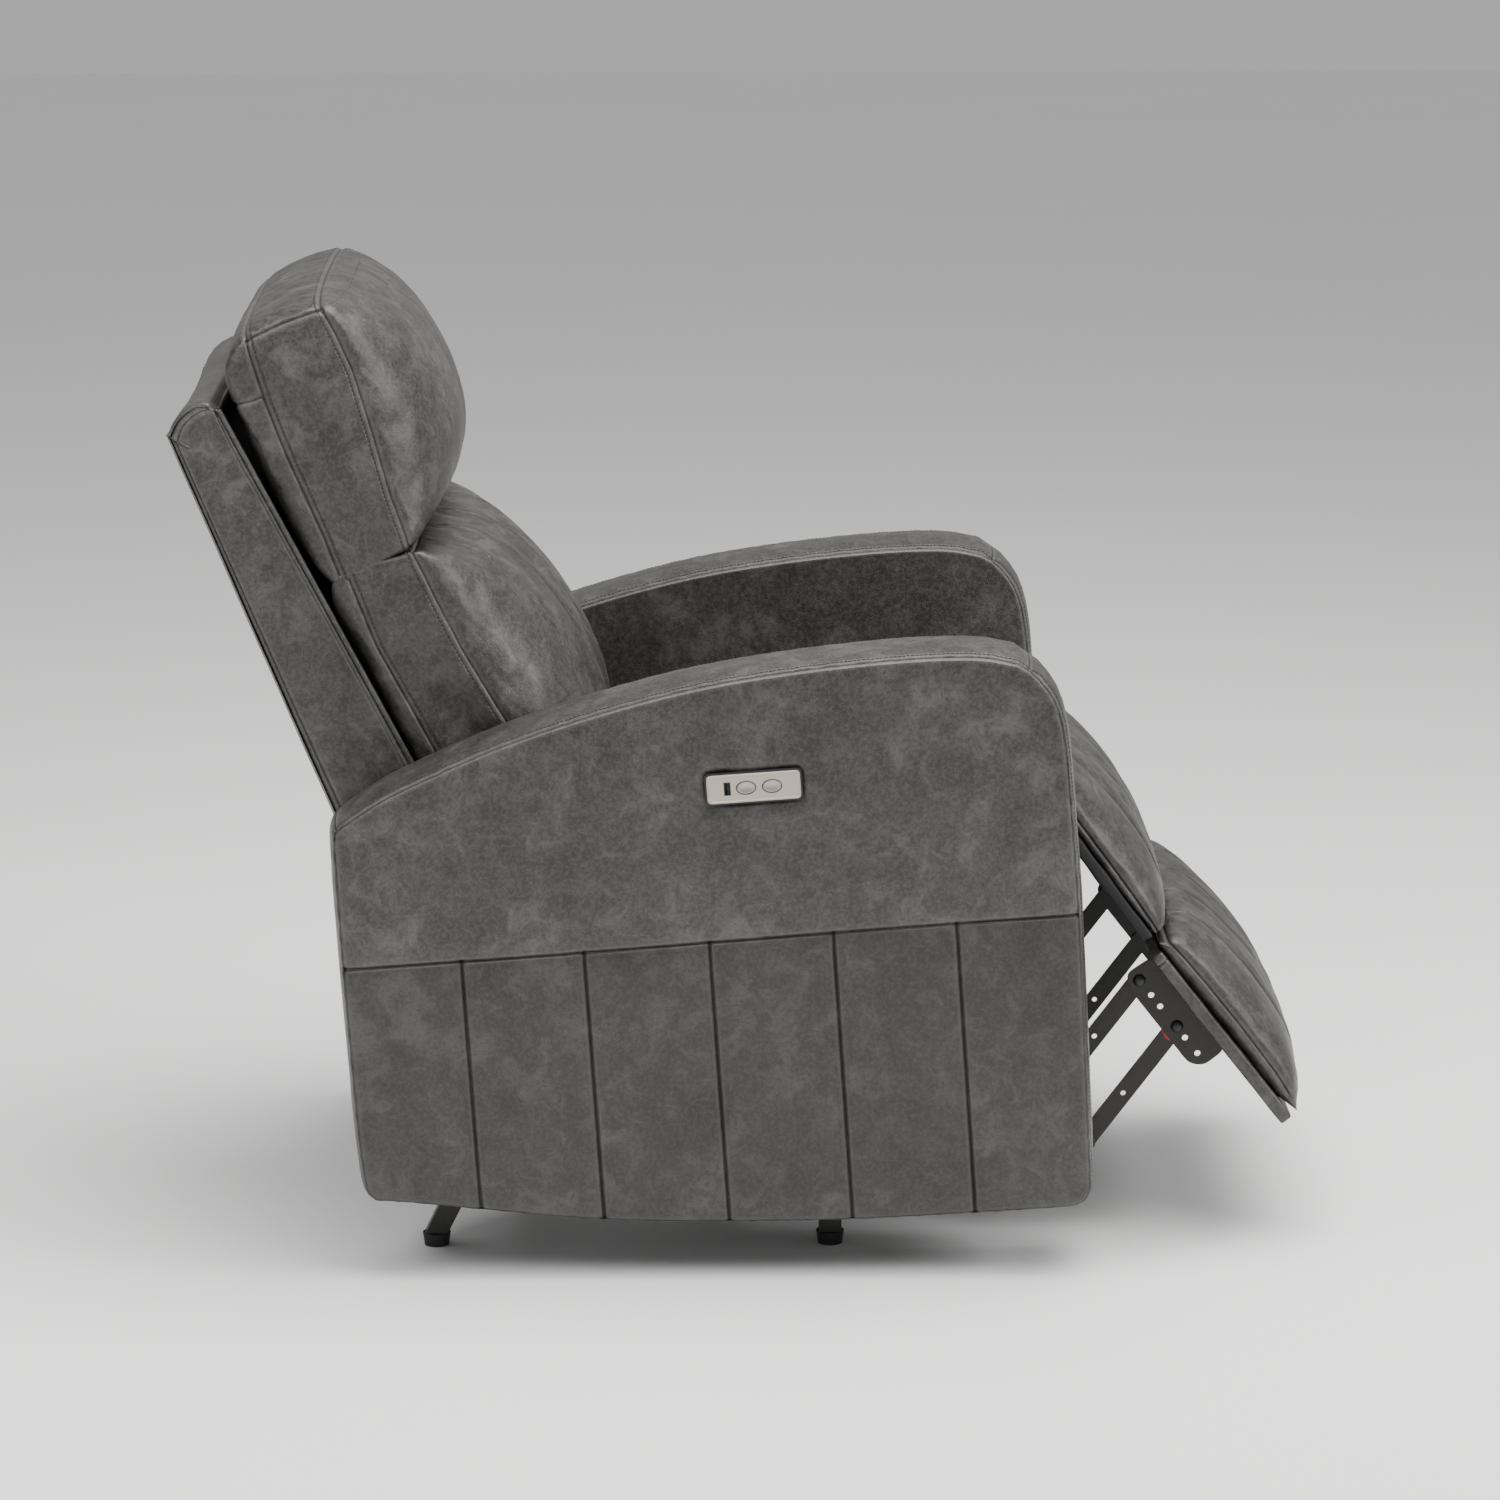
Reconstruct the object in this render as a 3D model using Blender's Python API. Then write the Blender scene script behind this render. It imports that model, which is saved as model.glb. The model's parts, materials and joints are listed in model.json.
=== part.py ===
"""Power rocker recliner armchair, modelled as separate pieces.

The sitter faces -Y, the seat width runs along X and +Z is up. All lengths are metres.
The steel base stands level on the floor. Everything above it, the chassis, is rocked back a few
degrees about the rocker pivots, so chassis pieces are placed in a level frame of their own:
f is the distance forwards, z the height, and x the sitter's left.
"""

import math

import bmesh
import bpy
from mathutils import Matrix, Vector

# Driving dimensions
WIDTH = 0.780                      # outside of arm to outside of arm
ARM_THICKNESS = 0.115
ARM_WALL = 0.012                   # padding and leather of an arm cover
GAP = 0.0003                       # clearance between pieces that touch
ROCK_PIVOT = (-0.100, 0.110)       # f, z of the rocker pivots
ROCK_ANGLE = math.radians(4.0)     # how far the chassis rests rocked back
CENTRE_F = 0.018                   # f of the middle of the whole object
BACK_HALF_WIDTH = 0.270
PAD_HALF_WIDTH = 0.262
CUSHION_HALF_WIDTH = 0.262

# Arm outline
ARM_REAR = -0.385
ARM_FRONT = 0.383
ARM_TOP = [(0.372, 0.592), (0.350, 0.624), (0.322, 0.640), (0.285, 0.6455), (0.213, 0.648),
           (0.058, 0.640), (-0.099, 0.615), (-0.205, 0.586), (-0.289, 0.555), (-0.370, 0.514)]
ARM_BOTTOM = [(-0.378, 0.113), (-0.264, 0.087), (-0.134, 0.066), (-0.004, 0.055),
              (0.125, 0.0485), (0.253, 0.0475), (0.355, 0.047), (0.377, 0.060)]

# Footrest linkage, drawn in its rest position
LIFT_PIVOT = (0.2344, 0.2849)
LIFT_LENGTH = 0.200
BOARD_SLOPE = math.radians(-55.9)  # the lift link and the footrest board are parallel
LINK_SLOPE = math.radians(49.0)    # the upper and lower links
LINK_LENGTH = 0.160
LINK_SPACING = 0.0654              # between the two links' pivots, along their ties
PIVOT_SLOPE = math.radians(-55.07)
CONTROL_PIVOT = (0.2015, 0.2594)
CONTROL_REACH = 0.030              # from the knee back to the control link
LINK_WIDTH = 0.020
PLATE = 0.003
LAYER = 0.004                      # pitch of the stacked plates
MECHANISM_X = 0.206                # middle of the innermost layer, the upper and lower links
RIVET_RADIUS = 0.004
RIVET_HEAD = 0.0006                # how far a rivet stands out of the plate that it holds
HOLE_RADIUS = 0.0045
DRIVE_CRANK = 0.055
DRIVE_TUBE_RADIUS = 0.008
CRANK_SLOPE = math.radians(-103.0)
TUBE_CLEARANCE = 0.0035            # between the drive tube and the slot that pushes it
RAIL_THICKNESS = 0.022             # wooden seat rails
PLATE_GAP = 0.0025                 # from a seat rail to its side plate
DRIVE_Z = 0.215                    # motor shaft and power inlet
ACTUATOR_Z = 0.190                 # actuator rail and drive block

FOOTREST_LENGTH = 0.231
BOARD_THICKNESS = 0.014
FOOTREST_TOP = (0.4618, 0.2738)    # upper end of the footrest board's underside
CHAISE_HINGE = (0.365, 0.470)
CHAISE_SLOPE = math.radians(-57.5)
RECLINE_HINGE = (-0.318, 0.330)

# Control panel on the right arm
PANEL_CENTRE = (0.0535, 0.5205)
PANEL_SIZE = (0.101, 0.034)
BUTTONS_F = {"close_button": 0.0457, "open_button": 0.0725}
BUTTON_SIZE = (0.0187, 0.0123)
USB_F = 0.0262

FOOT_X = 0.250
FOOT_FRONT = 0.109
FOOT_REAR = -0.3126
RAIL_Z = 0.078


def clear_scene():
    for obj in list(bpy.data.objects):
        bpy.data.objects.remove(obj, do_unlink=True)


def material(name, colour, roughness, metallic=0.0):
    mat = bpy.data.materials.new(name)
    mat.use_nodes = True
    shader = mat.node_tree.nodes["Principled BSDF"]
    shader.inputs["Base Color"].default_value = (*colour, 1.0)
    shader.inputs["Roughness"].default_value = roughness
    shader.inputs["Metallic"].default_value = metallic
    return mat


def make_materials():
    return {
        "leather": material("leather", (0.098, 0.093, 0.088), 0.45),
        "steel": material("black_steel", (0.018, 0.017, 0.017), 0.42, 0.6),
        "wood": material("wood", (0.45, 0.31, 0.18), 0.7),
        "plastic": material("black_plastic", (0.012, 0.012, 0.012), 0.4),
        "champagne": material("champagne_metal", (0.52, 0.47, 0.41), 0.32, 0.7),
        "rubber": material("rubber", (0.015, 0.015, 0.015), 0.7),
        "fabric": material("dust_cover", (0.015, 0.015, 0.016), 0.9),
        "zinc": material("zinc_steel", (0.55, 0.55, 0.56), 0.35, 0.9),
    }


# ---------------------------------------------------------------- placing

def place(obj, parent, x=0.0, f=0.0, z=0.0):
    """Puts an object at (x, f, z) of its parent's frame, whose forward direction is -Y."""
    obj.parent = parent
    obj.location = (x, -f, z)


def add_empty(name, parent=None, f=0.0, z=0.0):
    empty = bpy.data.objects.new(name, None)
    bpy.context.scene.collection.objects.link(empty)
    place(empty, parent, 0.0, f, z)
    return empty


def finish(obj, mat, collection, smooth_angle=30.0):
    obj.data.materials.clear()
    obj.data.materials.append(mat)
    obj.data.shade_smooth()
    obj.data.set_sharp_from_angle(angle=math.radians(smooth_angle))
    for old in list(obj.users_collection):
        old.objects.unlink(obj)
    collection.objects.link(obj)
    return obj


def new_object(name, bm):
    bmesh.ops.recalc_face_normals(bm, faces=bm.faces[:])
    mesh = bpy.data.meshes.new(name)
    bm.to_mesh(mesh)
    bm.free()
    obj = bpy.data.objects.new(name, mesh)
    bpy.context.scene.collection.objects.link(obj)
    return obj


# ---------------------------------------------------------------- outlines in (f, z)

def along(start, slope, distance, side=0.0):
    """The point at a distance along a slope from start, then at right angles to it, upwards."""
    c, s = math.cos(slope), math.sin(slope)
    return (start[0] + distance * c - side * s, start[1] + distance * s + side * c)


def circle(centre, radius, count=12):
    step = 2.0 * math.pi / count
    return [(centre[0] + radius * math.cos(i * step), centre[1] + radius * math.sin(i * step))
            for i in range(count)]


def capsule(start, end, radius, count=6):
    """Outline of a bar with round ends between two points."""
    slope = math.atan2(end[1] - start[1], end[0] - start[0])
    points = []
    for centre, turn in ((end, slope - math.pi / 2), (start, slope + math.pi / 2)):
        for i in range(count + 1):
            angle = turn + math.pi * i / count
            points.append((centre[0] + radius * math.cos(angle), centre[1] + radius * math.sin(angle)))
    return points


def rectangle(f0, f1, z0, z1):
    return [(f0, z0), (f1, z0), (f1, z1), (f0, z1)]


def rounded(points, radius, count=4):
    """Replaces each corner of an outline with a short arc-like curve."""
    result = []
    total = len(points)
    for i, corner in enumerate(points):
        before = Vector(points[i - 1]) - Vector(corner)
        after = Vector(points[(i + 1) % total]) - Vector(corner)
        cut = min(radius, 0.45 * before.length, 0.45 * after.length)
        a = Vector(corner) + before.normalized() * cut
        b = Vector(corner) + after.normalized() * cut
        for k in range(count + 1):
            t = k / count
            point = a * (1 - t) ** 2 + Vector(corner) * (2 * t * (1 - t)) + b * t ** 2
            result.append((point.x, point.y))
    return result


def plate(name, outline, thickness, holes=()):
    """A flat piece whose outline lies in (f, z) and whose thickness is centred along x."""
    curve = bpy.data.curves.new(name, "CURVE")
    curve.dimensions = "2D"
    curve.fill_mode = "BOTH"
    curve.extrude = thickness / 2
    for ring in (outline, *holes):
        spline = curve.splines.new("POLY")
        spline.points.add(len(ring) - 1)
        spline.use_cyclic_u = True
        for point, (f, z) in zip(spline.points, ring):
            point.co = (f, z, 0.0, 1.0)
    shape = bpy.data.objects.new(name + "_curve", curve)
    bpy.context.scene.collection.objects.link(shape)
    bpy.context.view_layer.update()
    graph = bpy.context.evaluated_depsgraph_get()
    mesh = bpy.data.meshes.new_from_object(shape.evaluated_get(graph))
    bpy.data.objects.remove(shape, do_unlink=True)
    bm = bmesh.new()
    bm.from_mesh(mesh)
    bpy.data.meshes.remove(mesh)
    bmesh.ops.remove_doubles(bm, verts=bm.verts[:], dist=1e-5)
    # curve x is forwards (-Y), curve y is up, curve z is across (-X)
    turn = Matrix(((0, 0, -1, 0), (-1, 0, 0, 0), (0, 1, 0, 0), (0, 0, 0, 1)))
    bmesh.ops.transform(bm, matrix=turn, verts=bm.verts[:])
    return new_object(name, bm)


def box(name, x, f, z):
    """A box from three (low, high) pairs."""
    bm = bmesh.new()
    bmesh.ops.create_cube(bm, size=1.0)
    size = Vector((x[1] - x[0], f[1] - f[0], z[1] - z[0]))
    middle = Vector(((x[0] + x[1]) / 2, -(f[0] + f[1]) / 2, (z[0] + z[1]) / 2))
    bmesh.ops.scale(bm, vec=size, verts=bm.verts[:])
    bmesh.ops.translate(bm, vec=middle, verts=bm.verts[:])
    return new_object(name, bm)


def cylinder(name, radius, start, end, segments=16, end_radius=None):
    """A round bar between two (x, f, z) points."""
    a = Vector((start[0], -start[1], start[2]))
    b = Vector((end[0], -end[1], end[2]))
    bm = bmesh.new()
    bmesh.ops.create_cone(bm, cap_ends=True, segments=segments, radius1=radius,
                          radius2=radius if end_radius is None else end_radius, depth=(b - a).length)
    turn = (b - a).to_track_quat("Z", "Y").to_matrix().to_4x4()
    bmesh.ops.transform(bm, matrix=Matrix.Translation((a + b) / 2) @ turn, verts=bm.verts[:])
    return new_object(name, bm)


def rod(name, points, radius, resolution=2):
    """A wire or tube through (x, f, z) points."""
    curve = bpy.data.curves.new(name, "CURVE")
    curve.dimensions = "3D"
    curve.bevel_depth = radius
    curve.bevel_resolution = resolution
    curve.use_fill_caps = True
    spline = curve.splines.new("POLY")
    spline.points.add(len(points) - 1)
    for point, (x, f, z) in zip(spline.points, points):
        point.co = (x, -f, z, 1.0)
    obj = bpy.data.objects.new(name, curve)
    bpy.context.scene.collection.objects.link(obj)
    return obj


def loft(name, sections):
    """A soft solid through rings of (f, z) points, one ring for each x; all rings are alike."""
    bm = bmesh.new()
    rings = [[bm.verts.new((x, -f, z)) for f, z in ring] for x, ring in sections]
    for one, two in zip(rings, rings[1:]):
        for i, vert in enumerate(one):
            j = (i + 1) % len(one)
            bm.faces.new((vert, one[j], two[j], two[i]))
    bm.faces.new(rings[0])
    bm.faces.new(rings[-1])
    return new_object(name, bm)


def pillow(name, edge, middle, half_width, columns=8):
    """A cushion that swells from its edge outline, at the sides, to its middle outline."""
    sections = []
    for i in range(columns + 1):
        u = -1.0 + 2.0 * i / columns
        swell = math.sqrt(max(0.0, 1.0 - abs(u) ** 3))
        ring = [(e[0] + (m[0] - e[0]) * swell, e[1] + (m[1] - e[1]) * swell)
                for e, m in zip(edge, middle)]
        sections.append((u * half_width, ring))
    return loft(name, sections)


def combine(target, tool, operation):
    """Applies a Boolean to target's mesh and removes the tool."""
    modifier = target.modifiers.new(operation.lower(), "BOOLEAN")
    modifier.operation = operation
    modifier.solver = "EXACT"
    modifier.object = tool
    bpy.context.view_layer.update()
    graph = bpy.context.evaluated_depsgraph_get()
    mesh = bpy.data.meshes.new_from_object(target.evaluated_get(graph))
    target.modifiers.clear()
    target.data = mesh
    bpy.data.objects.remove(tool, do_unlink=True)
    return target


def moved(obj, x):
    """Shifts an object's mesh along x."""
    obj.data.transform(Matrix.Translation((x, 0.0, 0.0)))
    return obj


def mirrored_name(stem, side):
    """side is -1 on the sitter's right and 1 on the left."""
    return stem + ("_R" if side < 0 else "_L")


# ---------------------------------------------------------------- base

def make_base(root, mats, parts):
    for side in (-1, 1):
        x = side * FOOT_X
        rail = box(mirrored_name("base_rail", side), (x - 0.012, x + 0.012),
                   (FOOT_REAR + 0.020, FOOT_FRONT + 0.030), (RAIL_Z - 0.012, RAIL_Z + 0.012))
        front_leg = box("leg", (x - 0.011, x + 0.011), (FOOT_FRONT - 0.012, FOOT_FRONT + 0.012),
                        (0.0145, RAIL_Z))
        rear_leg = plate("leg", [(FOOT_REAR - 0.012, 0.0145), (FOOT_REAR + 0.012, 0.0145),
                                 (FOOT_REAR + 0.044, RAIL_Z), (FOOT_REAR + 0.021, RAIL_Z + 0.005)], 0.022)
        rail = combine(rail, front_leg, "UNION")
        rail = combine(rail, moved(rear_leg, x), "UNION")
        place(finish(rail, mats["steel"], parts), root)
        for label, f in (("front", FOOT_FRONT), ("rear", FOOT_REAR)):
            glide = cylinder(mirrored_name("glide_" + label, side), 0.013, (x, f, 0.0),
                             (x, f, 0.0142), 20, 0.0150)
            place(finish(glide, mats["rubber"], parts), root)
        mount = plate(mirrored_name("rocker_mount", side),
                      [(ROCK_PIVOT[0] - 0.055, RAIL_Z + 0.0123), (ROCK_PIVOT[0] + 0.055, RAIL_Z + 0.0123),
                       (ROCK_PIVOT[0] + 0.016, ROCK_PIVOT[1] + 0.016),
                       (ROCK_PIVOT[0] - 0.016, ROCK_PIVOT[1] + 0.016)], 0.004)
        pin = cylinder("pin", 0.006, (-0.012, *ROCK_PIVOT), (0.012, *ROCK_PIVOT))
        mount = combine(moved(mount, x + side * 0.006), moved(pin, x), "UNION")
        place(finish(mount, mats["steel"], parts), root)
        spring = rod(mirrored_name("rocker_spring", side),
                     helix(x, ROCK_PIVOT[0] + 0.100, RAIL_Z + 0.0145, 0.020, 0.014, 3.5), 0.0018)
        place(spring_finish(spring, mats["zinc"], parts), root)
    for label, f in (("front", FOOT_FRONT - 0.005), ("rear", FOOT_REAR + 0.050)):
        tube = box("base_cross_" + label, (-FOOT_X + 0.0123, FOOT_X - 0.0123),
                   (f - 0.011, f + 0.011), (RAIL_Z - 0.011, RAIL_Z + 0.011))
        place(finish(tube, mats["steel"], parts), root)


def helix(x, f, z, height, radius, turns, steps=10):
    points = []
    total = int(turns * steps)
    for i in range(total + 1):
        angle = 2 * math.pi * i / steps
        points.append((x + radius * math.cos(angle), f + radius * math.sin(angle), z + height * i / total))
    return points


def spring_finish(obj, mat, collection):
    obj.data.materials.append(mat)
    for old in list(obj.users_collection):
        old.objects.unlink(obj)
    collection.objects.link(obj)
    return obj


# ---------------------------------------------------------------- chassis

def arm_outline(inset=0.0, drop=0.0):
    """Side view of an arm. inset shrinks it all round; drop lowers the bottom, to open it."""
    middle = Vector((0.0, 0.34))
    points = [*ARM_BOTTOM, (ARM_FRONT - 0.002, 0.090), (ARM_FRONT, 0.300), (ARM_FRONT, 0.530),
              *ARM_TOP, (ARM_REAR - 0.005, 0.495), (ARM_REAR - 0.007, 0.300)]
    result = []
    for f, z in points:
        span = Vector((f, z)) - middle
        f_new = f - math.copysign(min(inset, abs(span.x)), span.x)
        z_new = z - math.copysign(min(inset, abs(span.y)), span.y)
        if drop and z < 0.2:
            z_new = z - drop
        result.append((f_new, z_new))
    return result


def make_arms(chassis, mats, parts):
    for side in (-1, 1):
        x = side * (WIDTH - ARM_THICKNESS) / 2
        cover = plate(mirrored_name("arm_cover", side), arm_outline(), ARM_THICKNESS)
        cavity = plate("cavity", arm_outline(ARM_WALL, 0.030), ARM_THICKNESS - 2 * ARM_WALL)
        cover = moved(combine(cover, cavity, "DIFFERENCE"), x)
        if side < 0:
            pocket = box("pocket", (-0.400, -0.360), (PANEL_CENTRE[0] - 0.0455, PANEL_CENTRE[0] + 0.0455),
                         (PANEL_CENTRE[1] - 0.0130, PANEL_CENTRE[1] + 0.0130))
            cover = combine(cover, pocket, "DIFFERENCE")
        place(finish(cover, mats["leather"], parts), chassis)
        frame = plate(mirrored_name("arm_frame", side), arm_outline(ARM_WALL + 0.004), 0.018)
        place(finish(moved(frame, x - side * 0.015), mats["wood"], parts), chassis)


def make_control_panel(chassis, mats, parts):
    """Champagne plate in a black housing, with two buttons and a charging socket."""
    face = -WIDTH / 2
    f, z = PANEL_CENTRE
    half_f, half_z = PANEL_SIZE[0] / 2, PANEL_SIZE[1] / 2
    rim = plate("control_housing", rounded(rectangle(f - half_f, f + half_f, z - half_z, z + half_z), 0.006),
                0.0022)
    rim = moved(rim, face - 0.0014)
    body = box("body", (face - 0.001, face + 0.018), (f - 0.0452, f + 0.0452), (z - 0.0127, z + 0.0127))
    rim = combine(rim, body, "UNION")
    recess = plate("recess", rounded(rectangle(f - half_f + 0.0017, f + half_f - 0.0017,
                                               z - half_z + 0.0017, z + half_z - 0.0017), 0.005), 0.003)
    rim = combine(rim, moved(recess, face - 0.0024), "DIFFERENCE")
    cover = plate("control_plate", rounded(rectangle(f - half_f + 0.002, f + half_f - 0.002,
                                                     z - half_z + 0.002, z + half_z - 0.002), 0.005), 0.0022)
    cover = moved(cover, face - 0.0023)
    for button_f in BUTTONS_F.values():
        well = plate("well", oval((button_f, z), BUTTON_SIZE[0] + 0.0012, BUTTON_SIZE[1] + 0.0012), 0.030)
        rim = combine(rim, moved(well, face - 0.0045), "DIFFERENCE")
        hole = plate("hole", oval((button_f, z), BUTTON_SIZE[0] + 0.0008, BUTTON_SIZE[1] + 0.0008), 0.012)
        cover = combine(cover, moved(hole, face), "DIFFERENCE")

    def slot():
        return box("slot", (face - 0.010, face + 0.012), (USB_F - 0.0035, USB_F + 0.0035),
                   (z - 0.0070, z + 0.0070))

    rim, cover = combine(rim, slot(), "DIFFERENCE"), combine(cover, slot(), "DIFFERENCE")
    place(finish(rim, mats["plastic"], parts), chassis)
    place(finish(cover, mats["champagne"], parts), chassis)
    socket = box("usb_port", (face - 0.0036, face + 0.0115), (USB_F - 0.0032, USB_F + 0.0032),
                 (z - 0.0067, z + 0.0067))
    mouth = box("mouth", (face - 0.006, face + 0.006), (USB_F - 0.0023, USB_F + 0.0023),
                (z - 0.0058, z + 0.0058))
    tongue = box("tongue", (face - 0.0030, face + 0.008), (USB_F + 0.0001, USB_F + 0.0016),
                 (z - 0.0050, z + 0.0050))
    socket = combine(combine(socket, mouth, "DIFFERENCE"), tongue, "UNION")
    place(finish(socket, mats["plastic"], parts), chassis)


def oval(centre, length, height, count=20):
    step = 2 * math.pi / count
    return [(centre[0] + length / 2 * math.cos(i * step), centre[1] + height / 2 * math.sin(i * step))
            for i in range(count)]


def make_buttons(chassis, mats, parts):
    """Each button sits in its own frame, because it slides inwards."""
    for name, button_f in BUTTONS_F.items():
        pivot = add_empty(name + "_frame", chassis, button_f, PANEL_CENTRE[1])
        button = plate(name, oval((0.0, 0.0), *BUTTON_SIZE), 0.0110)
        place(finish(moved(button, -WIDTH / 2 + 0.0010), mats["champagne"], parts), pivot)


def make_seat(chassis, mats, parts):
    inner = WIDTH / 2 - ARM_THICKNESS - GAP
    for side in (-1, 1):
        rail = box(mirrored_name("seat_side_rail", side),
                   tuple(sorted((side * (inner - RAIL_THICKNESS), side * inner))), (-0.300, 0.318),
                   (0.290, 0.345))
        place(finish(rail, mats["wood"], parts), chassis)
    span = inner - RAIL_THICKNESS - GAP
    front = box("front_rail", (-span, span), (0.298, 0.318), (0.320, 0.400))
    place(finish(front, mats["wood"], parts), chassis)
    rear = box("rear_rail", (-0.2445, 0.2445), (-0.262, -0.242), (0.290, 0.345))
    place(finish(rear, mats["wood"], parts), chassis)
    for i, x in enumerate((-0.120, 0.0, 0.120)):
        place(spring_finish(rod(f"seat_spring_{i + 1}", sinuous(x), 0.0018), mats["zinc"], parts), chassis)
    edge = rounded([(-0.225, 0.372), (0.290, 0.4035), (0.322, 0.4035), (0.340, 0.460), (0.350, 0.478),
                    (0.330, 0.488), (-0.195, 0.466)], 0.018, 3)
    middle = rounded([(-0.225, 0.372), (0.290, 0.4035), (0.322, 0.4035), (0.340, 0.460), (0.360, 0.482),
                      (0.330, 0.500), (-0.185, 0.482)], 0.018, 3)
    cushion = pillow("seat_cushion", edge, middle, CUSHION_HALF_WIDTH)
    place(finish(cushion, mats["leather"], parts, 40), chassis)


def sinuous(x, waves=9, half_width=0.028):
    """A zigzag seat spring from the rear rail to the front rail, clear of both."""
    points = []
    steps = waves * 4
    start, end = (-0.238, 0.3500), (0.294, 0.372)
    for i in range(steps + 1):
        t = i / steps
        points.append((x + half_width * math.sin(t * waves * 2 * math.pi),
                       start[0] + (end[0] - start[0]) * t, start[1] + (end[1] - start[1]) * t))
    return points


def make_side_plates(chassis, mats, parts):
    """Steel plates that carry the linkage, with the rocker arm that hangs on the rocker pin."""
    inner = WIDTH / 2 - ARM_THICKNESS - GAP - RAIL_THICKNESS - PLATE_GAP
    middle = inner - 0.002
    outline = rounded([(ROCK_PIVOT[0] - 0.015, ROCK_PIVOT[1] - 0.0155),
                       (ROCK_PIVOT[0] + 0.015, ROCK_PIVOT[1] - 0.0155), (0.030, 0.180),
                       (0.262, 0.215), (0.262, 0.308), (-0.200, 0.308), (-0.290, 0.349),
                       (-0.336, 0.349), (-0.336, 0.300), (-0.180, 0.180)], 0.014)
    for side in (-1, 1):
        body = plate(mirrored_name("side_plate", side), outline, 0.003,
                     (circle(ROCK_PIVOT, 0.0065, 16),))
        body = moved(body, side * middle)
        reaches = ((LIFT_PIVOT, lift_layer() - PLATE / 2 - 0.002),
                   (CONTROL_PIVOT, control_layer() - PLATE / 2 - RIVET_HEAD), (RECLINE_HINGE, 0.2385))
        for centre, end in reaches:
            stud = cylinder("stud", RIVET_RADIUS, (side * middle, *centre), (side * end, *centre), 12)
            body = combine(body, stud, "UNION")
        place(finish(body, mats["steel"], parts), chassis)


def make_drive(chassis, mats, parts):
    """Motor, actuator rail and power inlet under the seat."""
    motor = cylinder("motor", 0.030, (0.0, -0.150, DRIVE_Z), (0.0, -0.040, DRIVE_Z), 20)
    gearbox = box("gearbox", (-0.035, 0.035), (-0.050, -0.010), (0.175, 0.250))
    place(finish(combine(motor, gearbox, "UNION"), mats["plastic"], parts), chassis)
    rail = box("actuator_rail", (-0.014, 0.014), (-0.0097, 0.297),
               (ACTUATOR_Z - 0.006, ACTUATOR_Z + 0.006))
    place(finish(rail, mats["zinc"], parts), chassis)
    inlet = cylinder("power_inlet", 0.008, (0.0, -0.186, DRIVE_Z), (0.0, -0.1503, DRIVE_Z), 16)
    bore = cylinder("bore", 0.0040, (0.0, -0.190, DRIVE_Z), (0.0, -0.172, DRIVE_Z), 16)
    pin = cylinder("pin", 0.0011, (0.0, -0.184, DRIVE_Z), (0.0, -0.165, DRIVE_Z), 8)
    inlet = combine(combine(inlet, bore, "DIFFERENCE"), pin, "UNION")
    place(finish(inlet, mats["plastic"], parts), chassis)


def make_drive_block(chassis, mats, parts):
    """Nut block that runs along the rail; its upright slot drives the cross tube."""
    f, z = along(LIFT_PIVOT, CRANK_SLOPE, DRIVE_CRANK)
    pivot = add_empty("drive_block_frame", chassis, f, ACTUATOR_Z)
    block = box("drive_block", (-0.022, 0.022), (-0.022, 0.022), (-0.014, 0.014))
    bore = box("bore", (-0.0146, 0.0146), (-0.050, 0.050), (-0.0066, 0.0066))
    block = combine(block, bore, "DIFFERENCE")
    slot_low, slot_high = z - ACTUATOR_Z - 0.001, z - ACTUATOR_Z + 0.020
    yoke = plate("yoke", rounded(rectangle(-0.020, 0.020, 0.010, slot_high + 0.020), 0.008), 0.008,
                 (capsule((0.0, slot_low), (0.0, slot_high), DRIVE_TUBE_RADIUS + TUBE_CLEARANCE),))
    place(finish(combine(block, yoke, "UNION"), mats["plastic"], parts), pivot)


# ---------------------------------------------------------------- back

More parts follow.
